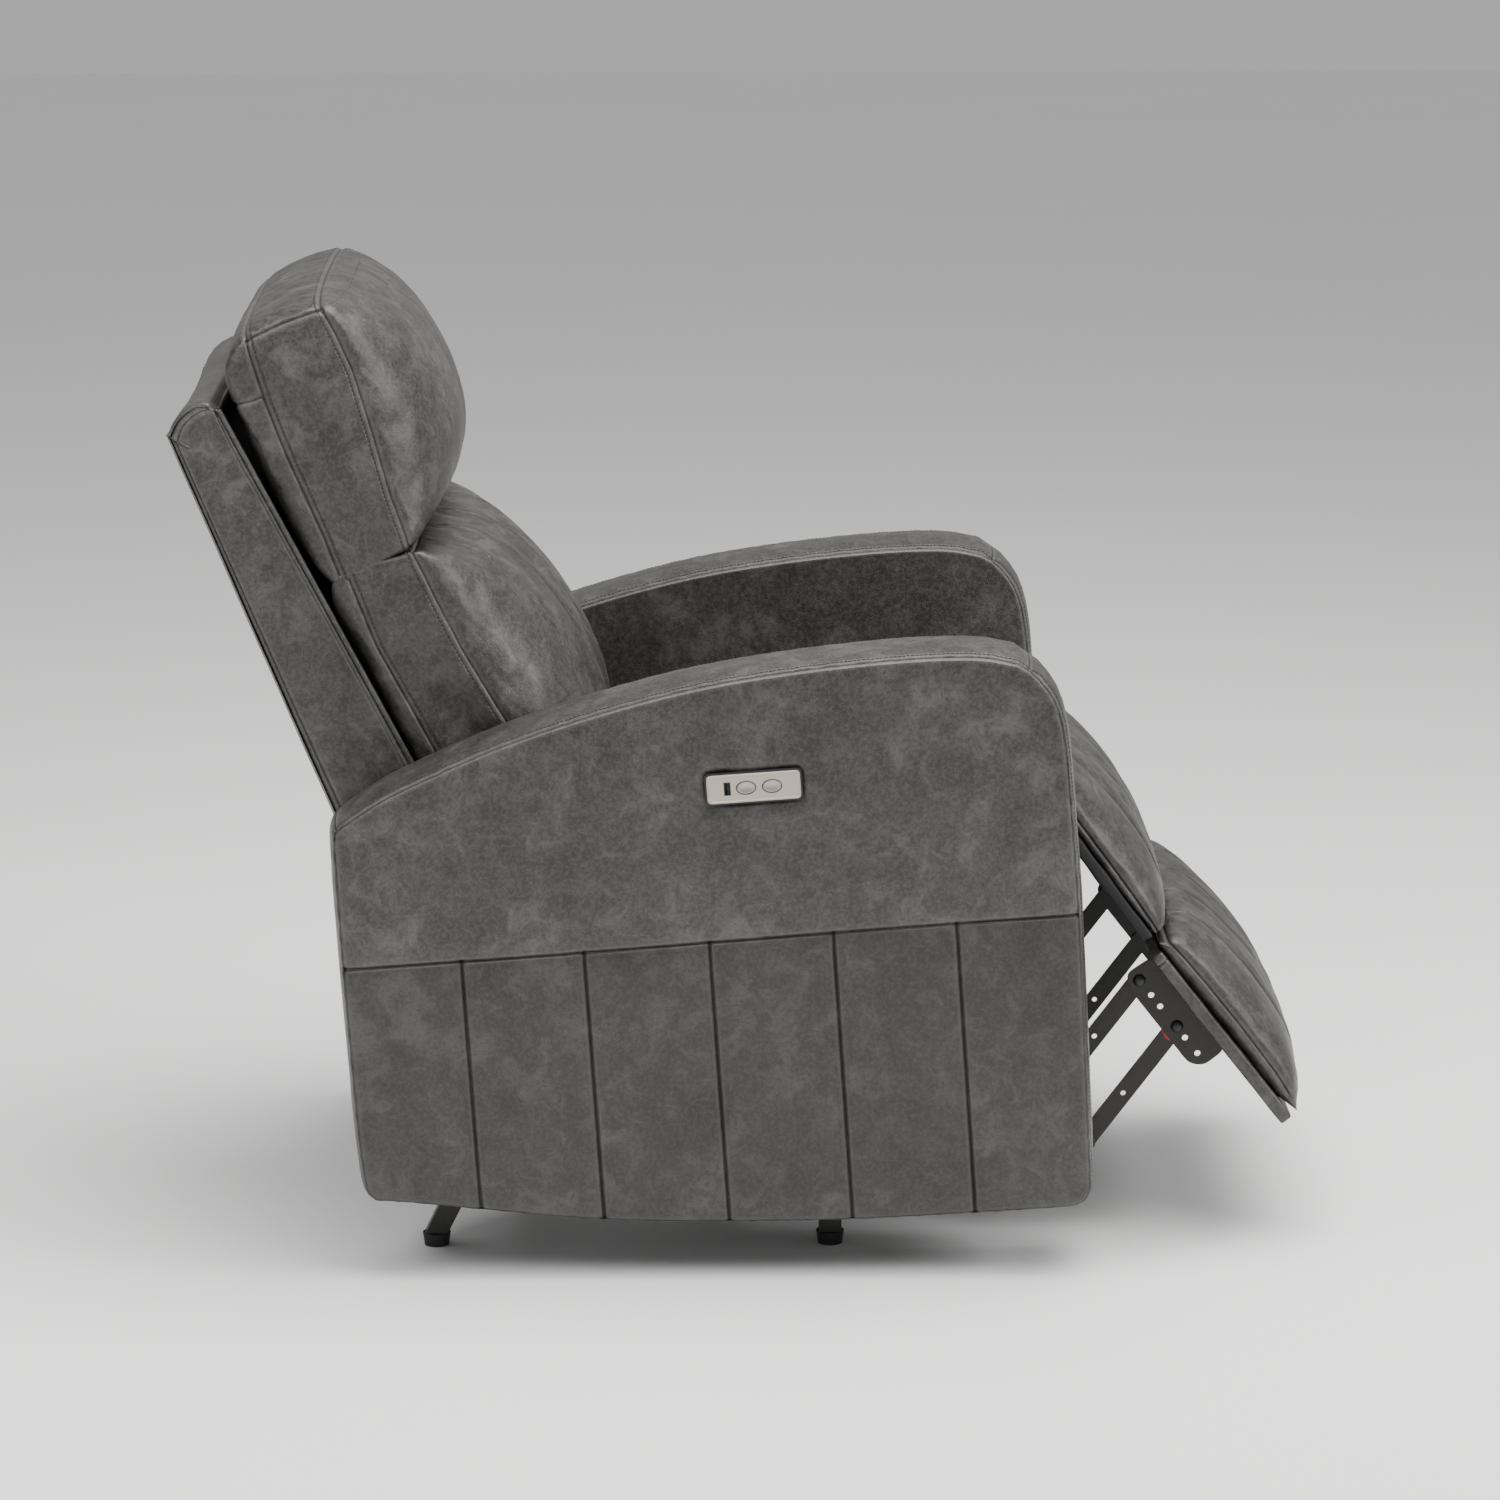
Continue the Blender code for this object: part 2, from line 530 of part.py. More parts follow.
def make_back(chassis, mats, parts):
    back = add_empty("recline_axis", chassis, *RECLINE_HINGE)
    hf, hz = RECLINE_HINGE

    def local(points):
        return [(f - hf, z - hz) for f, z in points]

    rear_line = [(-0.5285, 0.905), (-0.347, 0.365)]
    front_line = [(-0.478, 0.941), (-0.238, 0.392)]
    outline = rounded([rear_line[1], (front_line[1][0] - 0.004, 0.372), front_line[1], front_line[0],
                       (-0.500, 0.938), rear_line[0]], 0.012)
    shell = plate("back_shell", local(outline), 2 * BACK_HALF_WIDTH)
    hollow = plate("hollow", local([(-0.334, 0.300), (-0.180, 0.300), (-0.150, 0.392), (-0.400, 0.960),
                                    (-0.4865, 0.926), (-0.5155, 0.902)]),
                   2 * (BACK_HALF_WIDTH - 0.012))
    shell = combine(shell, hollow, "DIFFERENCE")
    place(finish(shell, mats["leather"], parts), back)

    upright = [(-0.5030, 0.890), (-0.4780, 0.902), (-0.2950, 0.470), (-0.2900, 0.400), (-0.2900, 0.310),
               (-0.3300, 0.310), (-0.3330, 0.392)]
    for side in (-1, 1):
        stile = plate(mirrored_name("back_upright", side), local(upright), 0.020)
        place(finish(moved(stile, side * 0.2280), mats["wood"], parts), back)
        bracket = plate(mirrored_name("back_bracket", side),
                        local(rounded([(-0.335, 0.312), (-0.300, 0.312), (-0.300, 0.470),
                                       (-0.326, 0.470)], 0.010)), 0.003,
                        (circle((0.0, 0.0), HOLE_RADIUS),))
        place(finish(moved(bracket, side * 0.2405), mats["steel"], parts), back)
    top = box("back_top_rail", (-0.2177, 0.2177), (-0.010, 0.010), (-0.035, 0.035))
    top.rotation_euler = (math.radians(-22.0), 0.0, 0.0)
    place(finish(top, mats["wood"], parts), back, 0.0, -0.475 - hf, 0.855 - hz)

    head_edge = [(-0.462, 0.945), (-0.466, 0.975), (-0.442, 1.004), (-0.400, 1.022), (-0.357, 1.029),
                 (-0.345, 1.010), (-0.330, 0.960), (-0.314, 0.890), (-0.301, 0.826), (-0.290, 0.780),
                 (-0.310, 0.765), (-0.355, 0.745), (-0.382, 0.756), (-0.420, 0.846)]
    head_middle = [(-0.462, 0.945), (-0.468, 0.980), (-0.448, 1.014), (-0.402, 1.036), (-0.350, 1.043),
                   (-0.290, 1.012), (-0.251, 0.952), (-0.232, 0.890), (-0.233, 0.834), (-0.255, 0.796),
                   (-0.300, 0.772), (-0.355, 0.745), (-0.382, 0.756), (-0.420, 0.846)]
    head = pillow("headrest_cushion", local(head_edge), local(head_middle), CUSHION_HALF_WIDTH)
    place(finish(head, mats["leather"], parts, 40), back)
    lumbar_edge = [(-0.300, 0.7545), (-0.280, 0.750), (-0.262, 0.712), (-0.241, 0.662), (-0.219, 0.617),
                   (-0.198, 0.576), (-0.180, 0.530), (-0.185, 0.495), (-0.240, 0.485), (-0.288, 0.522),
                   (-0.345, 0.655), (-0.372, 0.735)]
    lumbar_middle = [(-0.290, 0.7560), (-0.215, 0.752), (-0.168, 0.712), (-0.138, 0.668), (-0.115, 0.625),
                     (-0.100, 0.583), (-0.094, 0.540), (-0.115, 0.505), (-0.240, 0.485), (-0.288, 0.522),
                     (-0.345, 0.655), (-0.372, 0.735)]
    lumbar = pillow("lumbar_cushion", local(lumbar_edge), local(lumbar_middle), CUSHION_HALF_WIDTH)
    place(finish(lumbar, mats["leather"], parts, 40), back)


# ---------------------------------------------------------------- footrest linkage

def link_layer():
    return MECHANISM_X


def bracket_layer():
    return MECHANISM_X + LAYER


def lift_layer():
    return MECHANISM_X + 2 * LAYER


def control_layer():
    return MECHANISM_X + 3 * LAYER


def riveted(body, side, start, end, centre):
    """Joins a rivet, from one layer to the next, to a link."""
    pin = cylinder("rivet", RIVET_RADIUS, (side * start, *centre), (side * end, *centre), 12)
    return combine(body, pin, "UNION")


def make_linkage(chassis, mats, parts):
    knee = along(LIFT_PIVOT, BOARD_SLOPE, LIFT_LENGTH)
    lower_knee = along(knee, PIVOT_SLOPE, LINK_SPACING)
    upper_end = along(knee, LINK_SLOPE, LINK_LENGTH)
    lower_end = along(lower_knee, LINK_SLOPE, LINK_LENGTH)
    crank = along(LIFT_PIVOT, CRANK_SLOPE, DRIVE_CRANK)
    control_end = along(knee, LINK_SLOPE, -CONTROL_REACH)
    half = PLATE / 2

    lift = add_empty("lift_axis", chassis, *LIFT_PIVOT)
    control = add_empty("control_axis", chassis, *CONTROL_PIVOT)
    upper = add_empty("upper_axis", lift, knee[0] - LIFT_PIVOT[0], knee[1] - LIFT_PIVOT[1])
    lower = add_empty("lower_axis", lift, lower_knee[0] - LIFT_PIVOT[0], lower_knee[1] - LIFT_PIVOT[1])
    footrest = add_empty("footrest_axis", upper, upper_end[0] - knee[0], upper_end[1] - knee[1])

    def local(points, origin):
        return [(f - origin[0], z - origin[1]) for f, z in points]

    for side in (-1, 1):
        # lift link with its drive ear; its rivets carry the upper and lower links
        bar = plate(mirrored_name("lift_link", side),
                    local(capsule(LIFT_PIVOT, lower_knee, LINK_WIDTH / 2), LIFT_PIVOT), PLATE)
        ear = plate("ear", local(capsule(LIFT_PIVOT, crank, 0.015), LIFT_PIVOT), PLATE)
        bar = combine(bar, ear, "UNION")
        hole = cylinder("hole", HOLE_RADIUS, (-0.010, 0.0, 0.0), (0.010, 0.0, 0.0), 12)
        bar = moved(combine(bar, hole, "DIFFERENCE"), side * lift_layer())
        for centre in (knee, lower_knee):
            bar = riveted(bar, side, lift_layer(), link_layer() - half - RIVET_HEAD,
                          local([centre], LIFT_PIVOT)[0])
        place(finish(bar, mats["steel"], parts), lift)

        bar = plate(mirrored_name("control_link", side),
                    local(capsule(CONTROL_PIVOT, control_end, LINK_WIDTH / 2 - 0.001), CONTROL_PIVOT), PLATE,
                    (circle((0.0, 0.0), HOLE_RADIUS),))
        place(finish(moved(bar, side * control_layer()), mats["steel"], parts), control)

        bar = plate(mirrored_name("upper_link", side),
                    local(capsule(control_end, upper_end, LINK_WIDTH / 2), knee), PLATE,
                    (circle((0.0, 0.0), HOLE_RADIUS),
                     circle(local([along(knee, LINK_SLOPE, 0.0815)], knee)[0], 0.003)))
        bar = riveted(moved(bar, side * link_layer()), side, link_layer(),
                      bracket_layer() + half + RIVET_HEAD, local([upper_end], knee)[0])
        place(finish(bar, mats["steel"], parts), upper)

        bar = plate(mirrored_name("lower_link", side),
                    local(capsule(lower_knee, lower_end, LINK_WIDTH / 2), lower_knee), PLATE,
                    (circle((0.0, 0.0), HOLE_RADIUS),
                     circle(local([along(lower_knee, LINK_SLOPE, 0.066)], lower_knee)[0], 0.003)))
        bar = riveted(moved(bar, side * link_layer()), side, link_layer(),
                      bracket_layer() + half + RIVET_HEAD, local([lower_end], lower_knee)[0])
        place(finish(bar, mats["steel"], parts), lower)

    reach, centre = lift_layer() - half - GAP, local([crank], LIFT_PIVOT)[0]
    tube = cylinder("drive_tube", DRIVE_TUBE_RADIUS, (-reach, *centre), (reach, *centre), 20)
    place(finish(tube, mats["steel"], parts), lift)
    make_footrest(footrest, upper_end, lower_end, mats, parts)


def make_footrest(footrest, upper_end, lower_end, mats, parts):
    """Bracket, board and pad; the board's underside runs down from FOOTREST_TOP."""

    def on_board(distance, height):
        f, z = along(FOOTREST_TOP, BOARD_SLOPE, distance, height)
        return (f - upper_end[0], z - upper_end[1])

    origin = upper_end
    lower = (lower_end[0] - origin[0], lower_end[1] - origin[1])
    for side in (-1, 1):
        outline = rounded([on_board(0.010, -GAP), on_board(0.008, -0.034), on_board(0.022, -0.0415),
                           on_board(0.128, -0.0415), on_board(0.140, -0.030), on_board(0.140, -GAP)], 0.010)
        small = [circle((math.cos(BOARD_SLOPE) * d, math.sin(BOARD_SLOPE) * d), 0.0035)
                 for d in (0.021, 0.037, 0.081, 0.103)]
        body = plate(mirrored_name("footrest_bracket", side), outline, PLATE,
                     (circle((0.0, 0.0), HOLE_RADIUS), circle(lower, HOLE_RADIUS), *small))
        body = moved(body, side * bracket_layer())
        flange = plate("flange", [on_board(0.010, -GAP), on_board(0.010, -0.0028), on_board(0.140, -0.0028),
                                  on_board(0.140, -GAP)], 0.020)
        body = combine(body, moved(flange, side * (bracket_layer() - 0.009)), "UNION")
        place(finish(body, mats["steel"], parts), footrest)
    board = plate("footrest_board", rounded([on_board(0, 0), on_board(FOOTREST_LENGTH, 0),
                                             on_board(FOOTREST_LENGTH, BOARD_THICKNESS),
                                             on_board(0, BOARD_THICKNESS)], 0.003, 2), 2 * PAD_HALF_WIDTH)
    place(finish(board, mats["leather"], parts), footrest)
    low = BOARD_THICKNESS + GAP
    edge = [on_board(0.000, low), on_board(-0.002, 0.024), on_board(0.010, 0.030), on_board(0.060, 0.031),
            on_board(0.120, 0.031), on_board(0.180, 0.031), on_board(0.215, 0.030), on_board(0.226, 0.024),
            on_board(0.226, low)]
    middle = [on_board(0.000, low), on_board(-0.004, 0.036), on_board(0.012, 0.062), on_board(0.060, 0.073),
              on_board(0.120, 0.075), on_board(0.180, 0.067), on_board(0.215, 0.048), on_board(0.228, 0.028),
              on_board(0.226, low)]
    place(finish(pillow("footrest_pad", edge, middle, PAD_HALF_WIDTH), mats["leather"], parts, 40), footrest)


def make_chaise(chassis, mats, parts):
    """Padded leg rest section that bridges the seat and the footrest."""
    pivot = add_empty("chaise_axis", chassis, *CHAISE_HINGE)

    def on_pad(distance, height):
        return along((0.0, 0.0), CHAISE_SLOPE, distance, height)

    board = plate("chaise_board", rounded([on_pad(0.030, -0.0195), on_pad(0.196, -0.0195),
                                           on_pad(0.196, -0.0075), on_pad(0.030, -0.0075)], 0.003, 2),
                  2 * (PAD_HALF_WIDTH - 0.004))
    place(finish(board, mats["fabric"], parts), pivot)
    low = -0.0072
    edge = [on_pad(0.012, low), on_pad(0.006, -0.002), on_pad(0.010, 0.002), on_pad(0.050, 0.003),
            on_pad(0.100, 0.003), on_pad(0.150, 0.003), on_pad(0.185, 0.002), on_pad(0.200, -0.002),
            on_pad(0.200, low)]
    middle = [on_pad(0.012, low), on_pad(0.005, 0.010), on_pad(0.010, 0.030), on_pad(0.050, 0.043),
              on_pad(0.100, 0.046), on_pad(0.150, 0.043), on_pad(0.185, 0.032), on_pad(0.200, 0.008),
              on_pad(0.200, low)]
    place(finish(pillow("chaise_pad", edge, middle, PAD_HALF_WIDTH), mats["leather"], parts, 40), pivot)


def main():
    clear_scene()
    parts = bpy.data.collections.new("recliner_armchair")
    bpy.context.scene.collection.children.link(parts)
    mats = make_materials()
    root = add_empty("floor_frame", None, -CENTRE_F, 0.0)
    make_base(root, mats, parts)
    rocker = add_empty("rocker_axis", root, *ROCK_PIVOT)
    rocker.rotation_euler = (-ROCK_ANGLE, 0.0, 0.0)
    chassis = add_empty("chassis_frame", rocker, -ROCK_PIVOT[0], -ROCK_PIVOT[1])
    make_arms(chassis, mats, parts)
    make_control_panel(chassis, mats, parts)
    make_buttons(chassis, mats, parts)
    make_seat(chassis, mats, parts)
    make_side_plates(chassis, mats, parts)
    make_drive(chassis, mats, parts)
    make_drive_block(chassis, mats, parts)
    make_back(chassis, mats, parts)
    make_linkage(chassis, mats, parts)
    make_chaise(chassis, mats, parts)


if __name__ == "__main__":
    main()
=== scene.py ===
"""Finished surfaces of a power rocker recliner armchair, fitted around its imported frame.

Chassis pieces are laid out in the chair's own level frame: x to the sitter's left, f forwards and
z up. LEVEL turns that frame into the world, where the chassis rests rocked back on its base.
"""

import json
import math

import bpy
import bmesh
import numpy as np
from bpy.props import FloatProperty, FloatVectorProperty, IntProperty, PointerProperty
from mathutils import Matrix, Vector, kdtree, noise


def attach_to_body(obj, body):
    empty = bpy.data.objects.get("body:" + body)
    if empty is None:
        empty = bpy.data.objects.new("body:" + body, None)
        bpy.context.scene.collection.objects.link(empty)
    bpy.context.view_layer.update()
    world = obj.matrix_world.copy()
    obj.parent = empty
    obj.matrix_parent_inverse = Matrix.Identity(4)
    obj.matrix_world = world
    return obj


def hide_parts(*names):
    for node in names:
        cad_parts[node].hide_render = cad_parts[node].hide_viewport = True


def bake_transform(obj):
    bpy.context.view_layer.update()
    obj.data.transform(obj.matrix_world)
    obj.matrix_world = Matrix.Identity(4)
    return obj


bl_info = {
    "name": "Recliner armchair",
    "version": (1, 0, 0),
    "blender": (4, 5, 0),
    "location": "View3D > Sidebar > Recliner",
    "description": "Upholsters and finishes a power rocker recliner armchair",
    "category": "Object",
}

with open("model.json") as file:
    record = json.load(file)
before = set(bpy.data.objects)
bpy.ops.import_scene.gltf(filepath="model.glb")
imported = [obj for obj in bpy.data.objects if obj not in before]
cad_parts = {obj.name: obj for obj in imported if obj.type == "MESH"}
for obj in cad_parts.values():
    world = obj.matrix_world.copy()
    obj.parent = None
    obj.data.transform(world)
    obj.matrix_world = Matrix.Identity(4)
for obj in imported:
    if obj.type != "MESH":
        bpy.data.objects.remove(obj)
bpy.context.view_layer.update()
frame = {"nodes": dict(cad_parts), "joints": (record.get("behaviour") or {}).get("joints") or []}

JOINTS = {joint["name"]: joint for joint in frame["joints"]}

# The level frame
TILT = math.radians(4.0)
LEVEL_PIVOT = (-0.100, 0.110)
ROCK_PIVOT = Vector(JOINTS["rock"]["pos_m"])
LEVEL = (Matrix.Translation(ROCK_PIVOT) @ Matrix.Rotation(-TILT, 4, "X")
         @ Matrix.Translation((0.0, LEVEL_PIVOT[0], -LEVEL_PIVOT[1])))

# Sizes that several pieces share
ARM_OUTER = 0.3875                # x of the seams round an arm's outer face
ARM_INNER = 0.2765
PANEL_SEAM_Z = 0.358
PANEL_SEAMS = (-0.262, -0.1345, -0.004, 0.125, 0.2535)
PANEL_CENTRE = (0.0535, 0.5205)
PAD_HALF_WIDTH = 0.262
BOARD_SLOPE = math.radians(-55.9)
CHAISE_SLOPE = math.radians(-57.5)
FOOTREST_TOP = (0.4618, 0.2738)
CHAISE_HINGE = (0.365, 0.470)
FAR = 0.030                       # distance value of a surface with no seam near it
NO_SEAM = 20.0                   # a distance that no crease or stitch row can reach


# ================================================================ properties

class ReclinerSettings(bpy.types.PropertyGroup):
    leather: FloatVectorProperty(
        name="Leather", description="Mean colour of the leather", subtype="COLOR", size=3,
        default=(0.034, 0.0326, 0.0310), min=0.0, max=1.0)
    # leather_light also paints the highlights beside seams and along tucks; leather_dark also paints the shade
    # beside tucks
    leather_light: FloatVectorProperty(
        name="Leather, light", description="Colour of the rubbed, lighter clouds", subtype="COLOR", size=3,
        default=(0.096, 0.0925, 0.0885), min=0.0, max=1.0)
    leather_dark: FloatVectorProperty(
        name="Leather, dark", description="Colour of the darker clouds", subtype="COLOR", size=3,
        default=(0.0115, 0.0110, 0.0104), min=0.0, max=1.0)
    plate_colour: FloatVectorProperty(
        name="Control plate", description="Colour of the satin control plate", subtype="COLOR", size=3,
        default=(0.46, 0.41, 0.355), min=0.0, max=1.0)
    metal_colour: FloatVectorProperty(
        name="Mechanism", description="Colour of the painted steel", subtype="COLOR", size=3,
        default=(0.016, 0.0145, 0.014), min=0.0, max=1.0)
    seam_depth: FloatProperty(
        name="Seam depth", description="How deep a sewn seam sinks into the padding",
        default=0.0024, min=0.0, max=0.01, unit="LENGTH")
    stitch_length: FloatProperty(
        name="Stitch length", description="Length of one top stitch", default=0.0034,
        min=0.001, max=0.01, unit="LENGTH")
    stitch_pitch: FloatProperty(
        name="Stitch pitch", description="Distance from one top stitch to the next", default=0.0046,
        min=0.001, max=0.02, unit="LENGTH")
    cloth_voxel: FloatProperty(
        name="Cloth voxel", description="Mesh size of a cushion's cover before it is inflated",
        default=0.0056, min=0.003, max=0.02, unit="LENGTH")
    cloth_frames: IntProperty(
        name="Cloth frames", description="Frames that a cushion takes to fill", default=20, min=2, max=40)
    camera_lens: FloatProperty(
        name="Lens", description="Focal length of the camera, in millimetres", default=139.2,
        min=20.0, max=300.0)
    key_power: FloatProperty(
        name="Top light", description="Power of the large light overhead", default=225.0,
        min=0.0, max=1000.0, unit="POWER")


def settings():
    return bpy.context.scene.recliner


# ================================================================ places

def level(x, f, z):
    """World position of a point of the level frame."""
    return LEVEL @ Vector((x, -f, z))


def along(start, slope, distance, side=0.0):
    """The (f, z) point at a distance along a slope from start, then at right angles to it, upwards."""
    c, s = math.cos(slope), math.sin(slope)
    return (start[0] + distance * c - side * s, start[1] + distance * s + side * c)


def to_world(points):
    """Level (x, f, z) rows as world rows."""
    points = np.asarray(points, float)
    flipped = np.column_stack([points[:, 0], -points[:, 1], points[:, 2], np.ones(len(points))])
    return (flipped @ np.array(LEVEL).T)[:, :3]


# ================================================================ shader node groups

def new_group(name, inputs, outputs):
    group = bpy.data.node_groups.new(name, "ShaderNodeTree")
    for label, kind, default in inputs:
        socket = group.interface.new_socket(label, in_out="INPUT", socket_type=kind)
        if default is not None:
            socket.default_value = default
    for label, kind in outputs:
        group.interface.new_socket(label, in_out="OUTPUT", socket_type=kind)
    return group, group.nodes.new("NodeGroupInput"), group.nodes.new("NodeGroupOutput")


def link_value(tree, socket, value):
    if isinstance(value, bpy.types.NodeSocket):
        tree.links.new(value, socket)
    else:
        socket.default_value = value


def math_node(tree, operation, a, b=None, clamp=False):
    node = tree.nodes.new("ShaderNodeMath")
    node.operation = operation
    node.use_clamp = clamp
    link_value(tree, node.inputs[0], a)
    if b is not None:
        link_value(tree, node.inputs[1], b)
    return node.outputs[0]


def mix_colour(tree, factor, a, b, blend="MIX"):
    node = tree.nodes.new("ShaderNodeMix")
    node.data_type = "RGBA"
    node.blend_type = blend
    link_value(tree, node.inputs["Factor"], factor)
    link_value(tree, node.inputs["A"], a)
    link_value(tree, node.inputs["B"], b)
    return node.outputs["Result"]


def ramp(tree, value, low, high, clamp=True):
    """A value remapped so that low becomes 0 and high becomes 1."""
    node = tree.nodes.new("ShaderNodeMapRange")
    node.clamp = clamp
    link_value(tree, node.inputs["Value"], value)
    link_value(tree, node.inputs["From Min"], low)
    link_value(tree, node.inputs["From Max"], high)
    return node.outputs["Result"]


def noise_value(tree, vector, scale, detail=3.0, roughness=0.55, distortion=0.0):
    node = tree.nodes.new("ShaderNodeTexNoise")
    tree.links.new(vector, node.inputs["Vector"])
    node.inputs["Scale"].default_value = scale
    node.inputs["Detail"].default_value = detail
    node.inputs["Roughness"].default_value = roughness
    node.inputs["Distortion"].default_value = distortion
    return node.outputs["Fac"]


def stretched(tree, vector, scale, rotation=(0.0, 0.0, 0.0)):
    node = tree.nodes.new("ShaderNodeMapping")
    tree.links.new(vector, node.inputs["Vector"])
    node.inputs["Scale"].default_value = scale
    node.inputs["Rotation"].default_value = rotation
    return node.outputs["Vector"]


def object_coordinates(tree):
    return tree.nodes.new("ShaderNodeTexCoord").outputs["Object"]


def build_clouds_group():
    """Pull-up leather's clouds: light, dark, streak and speck masks from a position."""
    group, source, result = new_group(
        "hide_clouds", [("Vector", "NodeSocketVector", None)],
        [("Light", "NodeSocketFloat"), ("Dark", "NodeSocketFloat"), ("Streak", "NodeSocketFloat"),
         ("Speck", "NodeSocketFloat")])
    place = source.outputs["Vector"]
    broad = noise_value(group, place, 9.0, 5.0, 0.62, 0.6)
    patch = noise_value(group, place, 34.0, 5.0, 0.66, 0.9)
    fine = noise_value(group, place, 210.0, 3.0, 0.7, 0.4)
    blended = math_node(group, "ADD", math_node(group, "MULTIPLY", broad, 0.42),
                        math_node(group, "MULTIPLY", patch, 0.58))
    light = ramp(group, blended, 0.505, 0.620)
    dark = ramp(group, blended, 0.495, 0.395)
    streaks = noise_value(group, stretched(group, place, (14.0, 60.0, 16.0), (0.5, 0.3, 0.4)), 1.6, 4.0, 0.6, 1.2)
    crossed = noise_value(group, stretched(group, place, (16.0, 14.0, 75.0), (-0.6, 0.2, 0.3)), 1.3, 4.0, 0.6, 1.0)
    lines = math_node(group, "MAXIMUM", ramp(group, streaks, 0.60, 0.70), ramp(group, crossed, 0.62, 0.72))
    streak = math_node(group, "MULTIPLY", lines, ramp(group, broad, 0.42, 0.60))
    group.links.new(light, result.inputs["Light"])
    group.links.new(dark, result.inputs["Dark"])
    group.links.new(streak, result.inputs["Streak"])
    group.links.new(fine, result.inputs["Speck"])
    return group


def build_grain_group():
    """Height of a fine pebbled hide, with soft creases, in metres."""
    group, source, result = new_group(
        "hide_grain", [("Vector", "NodeSocketVector", None), ("Cells", "NodeSocketFloat", 760.0)],
        [("Height", "NodeSocketFloat"), ("Pores", "NodeSocketFloat")])
    place = source.outputs["Vector"]
    cells = group.nodes.new("ShaderNodeTexVoronoi")
    cells.feature = "SMOOTH_F1"
    cells.inputs["Smoothness"].default_value = 0.35
    group.links.new(place, cells.inputs["Vector"])
    group.links.new(source.outputs["Cells"], cells.inputs["Scale"])
    pebble = math_node(group, "SUBTRACT", 1.0, ramp(group, cells.outputs["Distance"], 0.0, 0.75))
    hair = noise_value(group, place, 1900.0, 2.0, 0.6)
    crease = noise_value(group, place, 120.0, 4.0, 0.7, 1.5)
    height = math_node(group, "ADD", math_node(group, "MULTIPLY", pebble, 0.00012),
                       math_node(group, "MULTIPLY", hair, 0.00004))
    height = math_node(group, "ADD", height, math_node(group, "MULTIPLY", crease, 0.00022))
    group.links.new(height, result.inputs["Height"])
    group.links.new(pebble, result.inputs["Pores"])
    return group


def build_seam_group():
    """The crease of a sewn seam from a signed distance: a line along it and a band beside it, which the leather uses
    as masks for painted shade and painted highlight, and a height.
    """
    group, source, result = new_group(
        "seam_crease", [("Distance", "NodeSocketFloat", FAR), ("Width", "NodeSocketFloat", 0.0011),
                        ("Row", "NodeSocketFloat", 1.0)],
        [("Line", "NodeSocketFloat"), ("HighlightShadeBand", "NodeSocketFloat"), ("Row", "NodeSocketFloat"),
         ("Height", "NodeSocketFloat")])
    size = math_node(group, "ABSOLUTE", source.outputs["Distance"])
    # line mask along the seam: painted shade in a seam's crease, painted highlight on a tuck's ridge
    line = math_node(group, "SUBTRACT", 1.0, math_node(group, "DIVIDE", size, source.outputs["Width"]), True)
    outer = ramp(group, size, 0.0060, 0.0014)
    # band mask beside the seam: painted highlight beside a seam, painted shade beside a tuck
    highlight_shade_band = math_node(group, "MULTIPLY", outer, ramp(group, size, 0.0008, 0.0018))
    from_row = math_node(group, "ABSOLUTE",
                         math_node(group, "SUBTRACT", source.outputs["Distance"], source.outputs["Row"]))
    row = ramp(group, from_row, 0.0017, 0.0003)
    height = math_node(group, "MULTIPLY", ramp(group, size, 0.0, 0.0026), 0.0013)
    height = math_node(group, "ADD", height, math_node(group, "MULTIPLY", outer, 0.0005))
    height = math_node(group, "SUBTRACT", height, math_node(group, "MULTIPLY", row, 0.0007))
    group.links.new(line, result.inputs["Line"])
    group.links.new(highlight_shade_band, result.inputs["HighlightShadeBand"])
    group.links.new(row, result.inputs["Row"])
    group.links.new(height, result.inputs["Height"])
    return group


def build_wear_group():
    """Masks for dust and scuffs on hard parts."""
    group, source, result = new_group(
        "handling_wear", [("Vector", "NodeSocketVector", None)],
        [("Smear", "NodeSocketFloat"), ("Grit", "NodeSocketFloat")])
    place = source.outputs["Vector"]
    group.links.new(noise_value(group, place, 28.0, 4.0, 0.6, 0.5), result.inputs["Smear"])
    group.links.new(noise_value(group, place, 900.0, 2.0, 0.6), result.inputs["Grit"])
    return group


def use_group(tree, group, **values):
    node = tree.nodes.new("ShaderNodeGroup")
    node.node_tree = group
    for label, value in values.items():
        link_value(tree, node.inputs[label], value)
    return node


def attribute(tree, name):
    node = tree.nodes.new("ShaderNodeAttribute")
    node.attribute_name = name
    return node.outputs["Fac"]


# ================================================================ materials

GROUPS = {}
MATERIALS = {}


def new_material(name, roughness=0.5, metallic=0.0):
    mat = bpy.data.materials.new(name)
    mat.use_nodes = True
    shader = mat.node_tree.nodes["Principled BSDF"]
    shader.inputs["Roughness"].default_value = roughness
    shader.inputs["Metallic"].default_value = metallic
    return mat, mat.node_tree, shader


def bump(tree, height, distance=1.0, strength=1.0):
    node = tree.nodes.new("ShaderNodeBump")
    node.inputs["Distance"].default_value = distance
    node.inputs["Strength"].default_value = strength
    tree.links.new(height, node.inputs["Height"])
    return node.outputs["Normal"]


